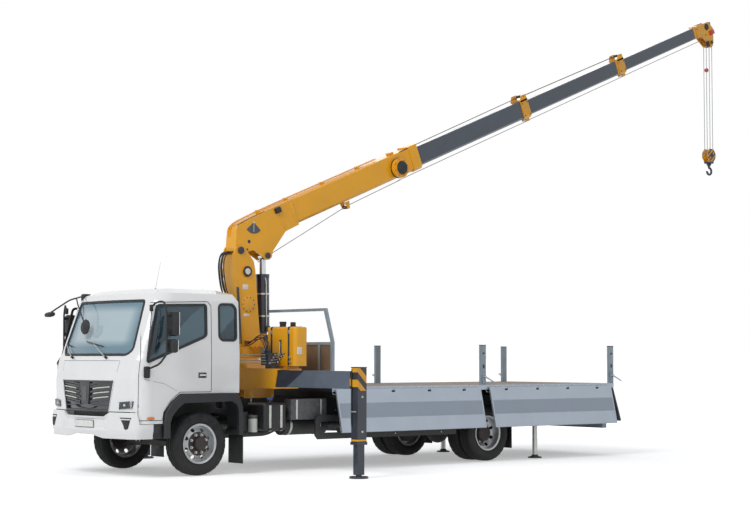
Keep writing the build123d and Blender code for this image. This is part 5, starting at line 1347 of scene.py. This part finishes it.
class CRANE_OT_outriggers(bpy.types.Operator):
    """Builds the fittings of the outriggers, the rear jacks, the oil tank and the control valves"""

    bl_idname = "crane.outriggers"
    bl_label = "Outriggers and controls"

    def execute(self, context):
        for (s, word), x in zip(SIDES, LEGS_X):
            leg = Shape("zinc_plate", "crane_amber_enamel", "navy_enamel", "hose_rubber")
            leg.block((x - 0.080, s * 2.618, 1.425), (x + 0.080, s * 2.762, 1.438), edge=0.003, number=2)
            leg.block((x - 0.0765, s * 2.6235, 0.478), (x + 0.0765, s * 2.7565, 0.500), edge=0.001,
                      number=1)
            for z in (0.60, 1.05):
                leg.bolt((x, s * 2.755, z), (0, s, 0), 0.022)
            leg.pipe([(x + 0.079, s * 2.640, 1.405), (x + 0.086, s * 2.640, 1.30),
                      (x + 0.086, s * 2.640, 0.72), (x + 0.079, s * 2.640, 0.66)], 0.007, number=3)
            leg.rod((x + 0.075, s * 2.700, 0.86), (x + 0.108, s * 2.700, 0.86), 0.010, number=0)
            leg.rod((x + 0.102, s * 2.660, 0.86), (x + 0.102, s * 2.745, 0.86), 0.007, number=0)
            leg.block((x - 0.080, s * 2.604, 1.150), (x + 0.080, s * 2.626, 1.385), edge=0.004, number=2)
            leg.piece(f"outrigger_fittings_{word}", f"outrigger_beam_{word}")
            foot = Shape("cast_iron")
            foot.lathe((x, s * LEG_Y, 0.018), (0, 0, 1), [(-0.004, 0.122), (0.008, 0.120), (0.008, 0.110),
                       (-0.004, 0.108)], sides=36)
            foot.piece(f"foot_plate_{word}", f"outrigger_foot_{word}")
            jack = Shape("cast_iron")
            jack.lathe((JACK_X, s * JACK_Y, 0.014), (0, 0, 1), [(0, 0.106), (0.006, 0.102), (0.014, 0.060),
                       (0.040, 0.042)], sides=32)
            jack.piece(f"jack_plate_{word}", f"rear_jack_foot_{word}")
            jack = Shape("cast_iron", "zinc_plate", "leg_slate_enamel")
            jack.sleeve((JACK_X, s * JACK_Y, 0.525), (0, 0, 1), 0, 0.030, 0.051, 0.062, sides=32, number=2)
            jack.rod((JACK_X, s * JACK_Y, 0.982), (JACK_X, s * JACK_Y, 1.010), 0.022, number=0)
            jack.rod((JACK_X, s * 1.10, 0.80), (JACK_X, s * 1.135, 0.80), 0.010, number=1)
            jack.piece(f"jack_fittings_{word}", "chassis")
        house = Shape("crane_amber_enamel", "cast_iron", "zinc_plate")
        for s, x in zip((1, -1), LEGS_X):
            house.block((x - 0.112, s * 1.060, 1.388), (x + 0.112, s * 1.098, 1.402), edge=0.003, number=0)
            for dx in (-0.10, 0.10):
                house.bolt((x + dx, s * 1.081, 1.36), (0, s, 0), 0.014, number=1)
        for y in (-0.42, 0.42):
            for x in (-1.60, -1.25):
                house.bolt((x, y * 1.05, 1.02), (0, 1 if y > 0 else -1, 0), 0.03, number=2)
                house.rod((x, y * 1.02, 0.70), (x, y * 1.02, 1.06), 0.012, number=2)
        house.piece("housing_fittings", "chassis")
        tank = Shape("blue_strap", "black_rubber", "plate_white", "zinc_plate", "grained_black_plastic")
        for y in (0.700, 1.090):
            tank.rings([[(at.x, y + dy, at.y) for at, dy in ((near, -0.018), (near, 0.018), (far, 0.018),
                                                             (far, -0.018))]
                        for near, far in rims(TANK_SIDES, 0.03, 0.0, 0.004)], closed=True)
            tank.block((-1.402, y - 0.022, 1.88), (-1.388, y + 0.022, 1.93), edge=0.003, number=3)
        tank.block((-1.402, 0.885, 1.560), (-1.386, 0.925, 1.800), edge=0.004, number=4)
        tank.block((-1.388, 0.897, 1.580), (-1.383, 0.913, 1.780), edge=0.002, number=2)
        tank.cap((-1.520, 0.800, 2.028), (0, 0, 1), 0.050, 0.022, 0.042, 0.028, number=1)
        tank.cap((-1.520, 1.030, 1.978), (0, 0, 1), 0.038, 0.06, 0.030, 0.068, number=4)
        for z in (1.50, 1.56):
            tank.rod((-1.398, 1.140, z), (-1.362, 1.140, z), 0.014, sides=6, number=3)
        tank.block((-1.52, 1.228, 1.60), (-1.44, 1.233, 1.70), edge=0.001, number=2)
        tank.piece("oil_tank_fittings", "chassis")
        levers = Shape("zinc_plate", "black_rubber", "navy_enamel", "hard_chrome", "cast_iron", "dial_grey")
        for k in range(4):
            z = 1.480 + 0.038 * k
            x = -1.190 - 0.030 * k
            levers.rod((x, 1.095, z + 0.010), (x, 1.150, z + 0.0135), 0.0155, 0.011, number=1)
            levers.block((x - 0.012, 0.925, z - 0.012), (x + 0.012, 0.950, z + 0.012), edge=0.003, number=0)
            levers.pipe([(-1.160 + 0.008 * k, 0.900, z), (-1.150 + 0.008 * k, 0.0, z),
                         (-1.150 + 0.008 * k, -0.900, z)], 0.006, number=0)
            levers.rod((x, -0.930, z), (x, -1.120, z + 0.012), 0.006, number=3)
            levers.ball((x, -1.130, z + 0.013), (0.015, 0.015, 0.015), 1)
            levers.rod((-1.215, 0.790 + 0.036 * k, 1.618), (-1.215, 0.790 + 0.036 * k, 1.650), 0.014,
                       number=4)
        levers.block((-1.330, -0.940, 1.450), (-1.160, -0.880, 1.620), edge=0.006, number=2)
        levers.block((-1.310, -0.930, 1.400), (-1.230, -0.890, 1.460), number=2)
        levers.cap((-1.168, 0.845, 1.560), (1, 0, 0), 0.030, 0.012, 0.026, 0.014, number=5)
        levers.block((-1.335, 0.770, 1.455), (-1.325, 0.920, 1.600), number=4)
        levers.piece("control_levers", "chassis")
        for k, (y, dip) in enumerate(((0.800, 0.06), (0.836, 0.09), (0.872, 0.12), (0.908, 0.08))):
            points = [(-1.215, y, 1.648), (-1.212, y, 1.700), (-1.235, y - 0.12, 1.760 + dip),
                      (-1.300, y - 0.38, 1.740 + dip), (-1.320, 0.275, 1.770 - 0.02 * k),
                      (-1.330, 0.165, 1.790 - 0.02 * k)]
            hose(f"valve_hose_{k + 1}", points, context.scene.crane_sizes.hose_d * 0.8, "chassis")
        return {"FINISHED"}


class CRANE_OT_bed(bpy.types.Operator):
    """Builds the latches, hinges, hooks, lamps and bars of the flat bed"""

    bl_idname = "crane.bed"
    bl_label = "Flat bed"

    def execute(self, context):
        fixed = Shape("post_greyblue_enamel", "black_rubber", "zinc_plate", "extruded_aluminium",
                      "red_lens", "amber_lens", "plate_white", "chassis_black_paint")
        for x in POSTS_X:
            for s in (1, -1):
                fixed.block((x - 0.030, s * 1.238, 1.170), (x + 0.030, s * 1.262, 1.330), edge=0.006,
                            number=0)
                fixed.rod((x + 0.020, s * 1.300, 1.275), (x - 0.150, s * 1.318, 1.190), 0.013, 0.010,
                          number=3)
                fixed.rod((x + 0.020, s * 1.250, 1.275), (x + 0.020, s * 1.312, 1.275), 0.016, number=2)
                for low, high in ((1.400, 1.455), (1.600, 1.640)):
                    fixed.block((x - 0.018, s * 1.2395, low), (x + 0.018, s * 1.2412, high), number=1)
                fixed.block((x - 0.053, s * 1.194, 1.740), (x + 0.053, s * 1.242, 1.752), edge=0.004,
                            number=1)
                for z in (1.25, 1.60):
                    fixed.bolt((x, s * 1.241, z), (0, s, 0), 0.018, number=2)
        for a, b in GATES.values():
            for k in range(8):
                x = a + (b - a) * (k + 0.5) / 8
                for s in (1, -1):
                    fixed.block((x - 0.020, s * 1.238, 1.118), (x + 0.020, s * 1.246, 1.142), edge=0.002,
                                number=2)
                    fixed.pipe([(x + 0.10, s * 1.205, 1.078), (x + 0.10, s * 1.225, 1.045),
                                (x + 0.19, s * 1.225, 1.045), (x + 0.19, s * 1.205, 1.078)], 0.006,
                               bend=0.02, sides=8, number=2)
        for y in (-0.95, -0.32, 0.32, 0.95):
            for low, high in ((0.0, 0.010), (-0.054, -0.040)):
                fixed.block((BED_FRONT_X + low, y - 0.025, DECK_Z), (BED_FRONT_X + high, y + 0.025, 1.735),
                            edge=0.003, number=0)
        for s in (1, -1):
            fixed.block((-7.870, s * 0.700, 0.565), (-7.862, s * 1.100, 0.648), edge=0.002, number=7)
            for low, high, number in ((0.715, 0.815, 4), (0.825, 0.905, 5), (0.915, 0.985, 6),
                                      (0.995, 1.085, 4)):
                fixed.block((-7.884, s * low, 0.575), (-7.866, s * high, 0.640), edge=0.006, number=number)
            for x in (-2.6, -3.7, -4.8, -6.6, -7.5):
                fixed.block((x - 0.045, s * 1.238, 1.085), (x + 0.045, s * 1.244, 1.108), edge=0.002,
                            number=5)
        fixed.block((-7.866, -0.26, 0.575), (-7.858, 0.26, 0.685), edge=0.003, number=6)
        for x in (-2.20, -2.715, -3.23, -3.745, -4.26, -4.775, -5.29, -5.805, -6.32, -6.835, -7.35):
            for y in (-1.1, -0.55, 0.0, 0.55, 1.1):
                fixed.rod((x, y, DECK_Z - 0.0005), (x, y, DECK_Z + 0.0015), 0.011, sides=10, number=2)
        fixed.piece("bed_fittings", "chassis")
        for s, word in SIDES:
            for node, (a, b) in GATES.items():
                gate = Shape("extruded_aluminium", "zinc_plate", "gate_shade", put=gate_frame(s))
                for low, high in ((-0.0162, -0.0148), (0.0098, 0.0112)):
                    gate.block((b + 0.026, low, 0.196), (a - 0.026, high, 0.390), number=2)
                for z in (0.190, 0.395):
                    gate.block((b + 0.026, -0.0170, z - 0.003), (a - 0.026, -0.0148, z + 0.003), number=2)
                for x in (a - 0.012, b + 0.012):
                    gate.block((x - 0.012, -0.0175, 0.130), (x + 0.012, -0.0145, 0.582), edge=0.001,
                               number=0)
                    gate.block((x - 0.012, 0.0095, 0.500), (x + 0.012, 0.0300, 0.570), edge=0.004, number=1)
                gate.block((b, -0.0180, 0.584), (a, -0.0145, 0.598), edge=0.001, number=0)
                for k in range(4):
                    x = a + (b - a) * (k + 0.5) / 4
                    gate.block((x - 0.045, 0.0098, 0.045), (x + 0.045, 0.0145, 0.120), edge=0.003, number=1)
                    for dx in (-0.025, 0.025):
                        gate.bolt((x + dx, 0.0145, 0.085), (0, 1, 0), 0.012, number=1)
                gate.piece(f"{node}_fittings_{word}", f"{node}_{word}")
        return {"FINISHED"}


def gate_frame(side):
    """The frame of a lowered side gate: X along the bed, Y out of its outer face, Z to its free edge."""
    hung = Matrix.Rotation(-math.pi + GATE_HANG, 4, "X")
    placed = Matrix.Translation((0, GATE_AXIS[0], GATE_AXIS[1])) @ hung
    return placed if side > 0 else Matrix.Diagonal((1, -1, 1, 1)) @ placed


class CRANE_OT_chassis(bpy.types.Operator):
    """Builds the caps, straps, canisters, lines and bolts below the bed"""

    bl_idname = "crane.chassis"
    bl_label = "Chassis"

    def execute(self, context):
        under = Shape("chassis_black_paint", "cap_blue", "filter_white", "zinc_plate", "engine_grey",
                      "cast_iron", "amber_lens", "grained_black_plastic")
        under.cap((-1.200, 0.930, 0.978), (0, 0, 1), 0.042, 0.022, 0.036, 0.026, number=1)
        under.cap((-0.920, 0.920, 0.545), (0, 0, 1), 0.064, 0.18, 0.055, 0.20, number=2)
        under.cap((-0.920, 0.920, 0.742), (0, 0, 1), 0.070, 0.030, 0.05, 0.034, number=4)
        under.block((-0.860, 0.640, 0.560), (-0.690, 0.900, 0.820), edge=0.012, number=0)
        under.block((-0.850, 0.430, 0.700), (-0.700, 0.650, 0.760), number=0)
        for x in (-1.30, -1.11):
            under.block((x - 0.018, 0.637, 0.556), (x + 0.018, 1.063, 0.562), number=3)
            under.block((x - 0.018, 1.060, 0.600), (x + 0.018, 1.064, 0.905), number=3)
        for x in (-1.60, -2.10):
            under.sleeve((x, *SILENCER), (1, 0, 0), -0.018, 0.018, 0.139, 0.144, sides=36, number=3)
        under.pipe([(-1.49, *SILENCER), (-1.30, 0.720, 0.520), (-0.60, 0.560, 0.500),
                    (-0.30, 0.400, 0.520)], 0.045, bend=0.12, sides=14, number=5)
        under.pipe([(-2.245, *SILENCER), (-2.60, 0.760, 0.600), (-2.85, 0.860, 0.500)], 0.045, bend=0.12,
                   sides=14, number=5)
        for x in (-1.50, -2.05):
            under.block((x - 0.020, -1.064, 0.46), (x + 0.020, -1.059, 0.93), number=3)
        under.cap((-1.900, -0.860, 0.958), (0, 0, 1), 0.050, 0.035, 0.040, 0.040, number=7)
        under.block((-2.10, 0.900, 0.700), (-1.47, 1.060, 0.985), edge=0.010, number=4)
        under.block((-2.06, 0.432, 0.78), (-1.50, 0.905, 0.82), number=0)
        for x in (-2.00, -1.57):
            under.block((x - 0.016, 1.058, 0.71), (x + 0.016, 1.064, 0.975), edge=0.002, number=3)
        for x in (-2.9, -3.4):
            under.rod((x - 0.20, 0.640, 0.560), (x + 0.20, 0.640, 0.560), 0.115, sides=28, number=0)
            under.block((x - 0.02, 0.432, 0.60), (x + 0.02, 0.640, 0.70), number=0)
        for s in (1, -1):
            for k in range(22):
                x = -0.9 - 0.31 * k
                under.bolt((x, s * RAIL_Y, 0.80), (0, s, 0), 0.018, number=3)
                under.bolt((x - 0.1, s * RAIL_Y, 0.70), (0, s, 0), 0.018, number=3)
            for x in (-2.5, -3.3, -4.2):
                for z in (0.470, 0.715):
                    under.bolt((x, s * GUARD_Y, z), (0, s, 0), 0.014, number=3)
            under.block((-3.05, s * 1.1485, 0.700), (-2.97, s * 1.155, 0.735), edge=0.002, number=6)
            for x in (-0.07, 0.07, -WHEELBASE - 0.07, -WHEELBASE + 0.07):
                for y in (0.350, 0.440):
                    under.rod((x, s * y, 0.40), (x, s * y, 0.60), 0.009, number=3)
            under.pipe([(0.45, s * 0.44, 0.74), (-0.60, s * 0.44, 0.74), (-1.40, s * 0.44, 0.72)], 0.008,
                       number=7)
        under.piece("chassis_fittings", "chassis")
        return {"FINISHED"}


class CRANE_OT_stage(bpy.types.Operator):
    """Lays the floor and sets the light and the camera"""

    bl_idname = "crane.stage"
    bl_label = "Stage"

    def execute(self, context):
        scene = context.scene
        scene.view_settings.view_transform = "Standard"
        floor_colour = (*scene.crane_colours.floor, 1.0)
        material, tree, place = start_material("studio_floor")
        shaded = add_node(tree, "ShaderNodeBsdfDiffuse", values={"Color": floor_colour})
        bright = add_node(tree, "ShaderNodeEmission", values={"Color": floor_colour})
        path = add_node(tree, "ShaderNodeLightPath")
        away = add_node(tree, "ShaderNodeVectorMath", {"operation": "DISTANCE"}, {1: FLOOR_MIDDLE},
                        {0: place})
        glow = add_node(tree, "ShaderNodeMapRange", links={"Value": away.outputs["Value"]},
                        values={"From Min": GLOW_FROM, "From Max": GLOW_TO, "To Min": FLOOR_GLOW,
                                "To Max": FAR_GLOW})
        tree.links.new(glow.outputs[0], bright.inputs["Strength"])
        lit = add_node(tree, "ShaderNodeAddShader", links={0: shaded.outputs[0], 1: bright.outputs[0]})
        seen = add_node(tree, "ShaderNodeMath", {"operation": "MAXIMUM"},
                        links={0: path.outputs["Is Camera Ray"], 1: path.outputs["Is Glossy Ray"]})
        final = add_node(tree, "ShaderNodeMixShader",
                         links={0: seen.outputs[0], 1: shaded.outputs[0], 2: lit.outputs[0]})
        add_node(tree, "ShaderNodeOutputMaterial", links={"Surface": final.outputs[0]})
        mesh = bpy.data.meshes.new("studio_floor")
        corners = ((-1, -1), (1, -1), (1, 1), (-1, 1))
        mesh.from_pydata([(x * FLOOR_HALF, y * FLOOR_HALF, -0.002) for x, y in corners], [], [(0, 1, 2, 3)])
        mesh.materials.append(material)
        floor = add_object("studio_floor", mesh)
        world = bpy.data.worlds.new("studio_sky")
        scene.world = world
        world.use_nodes = True
        tree = world.node_tree
        tree.nodes.clear()
        path = add_node(tree, "ShaderNodeLightPath")
        sky = add_node(tree, "ShaderNodeBackground",
                       values={"Color": (0.93, 0.96, 1.0, 1), "Strength": 0.33})
        back = add_node(tree, "ShaderNodeBackground", values={"Color": (1, 1, 1, 1), "Strength": 1.0})
        direct = add_node(tree, "ShaderNodeMath", {"operation": "MAXIMUM"},
                          links={0: path.outputs["Is Camera Ray"], 1: path.outputs["Is Glossy Ray"]})
        direct = add_node(tree, "ShaderNodeMath", {"operation": "MAXIMUM"},
                          links={0: direct.outputs[0], 1: path.outputs["Is Transmission Ray"]})
        both = add_node(tree, "ShaderNodeMixShader",
                        links={0: direct.outputs[0], 1: sky.outputs[0], 2: back.outputs[0]})
        add_node(tree, "ShaderNodeOutputWorld", links={"Surface": both.outputs[0]})
        for name, at, size, power in LAMPS:
            lamp = bpy.data.lights.new(name, "AREA")
            lamp.shape = "RECTANGLE"
            lamp.size, lamp.size_y = size
            lamp.energy = power
            holder = add_object(name, lamp)
            holder.location = at
            aim = LAMPS_AIM - Vector(at)
            holder.rotation_mode = "QUATERNION"
            holder.rotation_quaternion = aim.to_track_quat("-Z", "Y")
        yaw, pitch, roll = (math.radians(a) for a in CAMERA_TURN)
        ahead = Vector((math.cos(pitch) * math.cos(yaw), math.cos(pitch) * math.sin(yaw), math.sin(pitch)))
        right = ahead.cross(Vector((0, 0, 1))).normalized()
        up = right.cross(ahead)
        right, up = (right * math.cos(roll) + up * math.sin(roll),
                     up * math.cos(roll) - right * math.sin(roll))
        camera = bpy.data.cameras.new("photo_view")
        camera.lens = CAMERA_LENS
        camera.sensor_width = 36.0
        camera.clip_end = 2500.0
        holder = add_object("photo_view", camera)
        holder.matrix_world = Matrix.Translation(CAMERA_AT) @ Matrix(
            (right, up, -ahead)).transposed().to_4x4()
        scene.camera = holder
        return {"FINISHED"}


# The camera as it was fitted to the photograph: place, then yaw, pitch and roll in degrees
CAMERA_AT = Vector((12.5556, 19.2388, 1.5615))
CAMERA_TURN = (229.477, 3.5425, 0.0887)
CAMERA_LENS = 79.72
# The floor glows faintly near the lorry, where it keeps the shadow, and more from there outwards
FLOOR_HALF = 900.0
FLOOR_MIDDLE = (-3.0, 0.0, 0.0)
GLOW_FROM, GLOW_TO = 5.0, 15.0
FLOOR_GLOW, FAR_GLOW = 0.38, 0.75

# Name, place, size and watts of each lamp, and where they all look
LAMPS_AIM = Vector((-4.0, 0.0, 1.5))
LAMPS = (
    ("key_light", (14.0, 5.0, 15.0), (9.0, 9.0), 2100.0),
    ("side_light", (-4.0, 18.0, 12.0), (12.0, 8.0), 420.0),
    ("rim_light", (-16.0, -10.0, 14.0), (10.0, 10.0), 500.0),
)


class CRANE_PT_panel(bpy.types.Panel):
    """Lists the operators of the truck crane"""

    bl_idname = "CRANE_PT_panel"
    bl_label = "Truck crane"
    bl_space_type = "VIEW_3D"
    bl_region_type = "UI"
    bl_category = "Truck crane"

    def draw(self, context):
        layout = self.layout
        for group in (context.scene.crane_sizes, context.scene.crane_colours):
            for key in group.bl_rna.properties.keys():
                if key not in ("rna_type", "name"):
                    layout.prop(group, key)
        for operator in OPERATORS:
            layout.operator(operator.bl_idname)


OPERATORS = (
    CRANE_OT_stage,
    CRANE_OT_finishes,
    CRANE_OT_cab_front,
    CRANE_OT_cab_sides,
    CRANE_OT_wheels,
    CRANE_OT_column,
    CRANE_OT_boom,
    CRANE_OT_hook,
    CRANE_OT_outriggers,
    CRANE_OT_bed,
    CRANE_OT_chassis,
)
CLASSES = (CraneSizes, CraneColours, *OPERATORS, CRANE_PT_panel)


def register():
    """Adds the classes and the scene's settings."""
    for item in CLASSES:
        bpy.utils.register_class(item)
    bpy.types.Scene.crane_sizes = PointerProperty(type=CraneSizes)
    bpy.types.Scene.crane_colours = PointerProperty(type=CraneColours)


def unregister():
    """Takes the classes and the scene's settings away."""
    del bpy.types.Scene.crane_colours
    del bpy.types.Scene.crane_sizes
    for item in reversed(CLASSES):
        bpy.utils.unregister_class(item)


def main():
    """Runs the operators in order."""
    register()
    for operator in OPERATORS:
        group, name = operator.bl_idname.split(".")
        getattr(getattr(bpy.ops, group), name)()


if __name__ == "__main__":
    main()
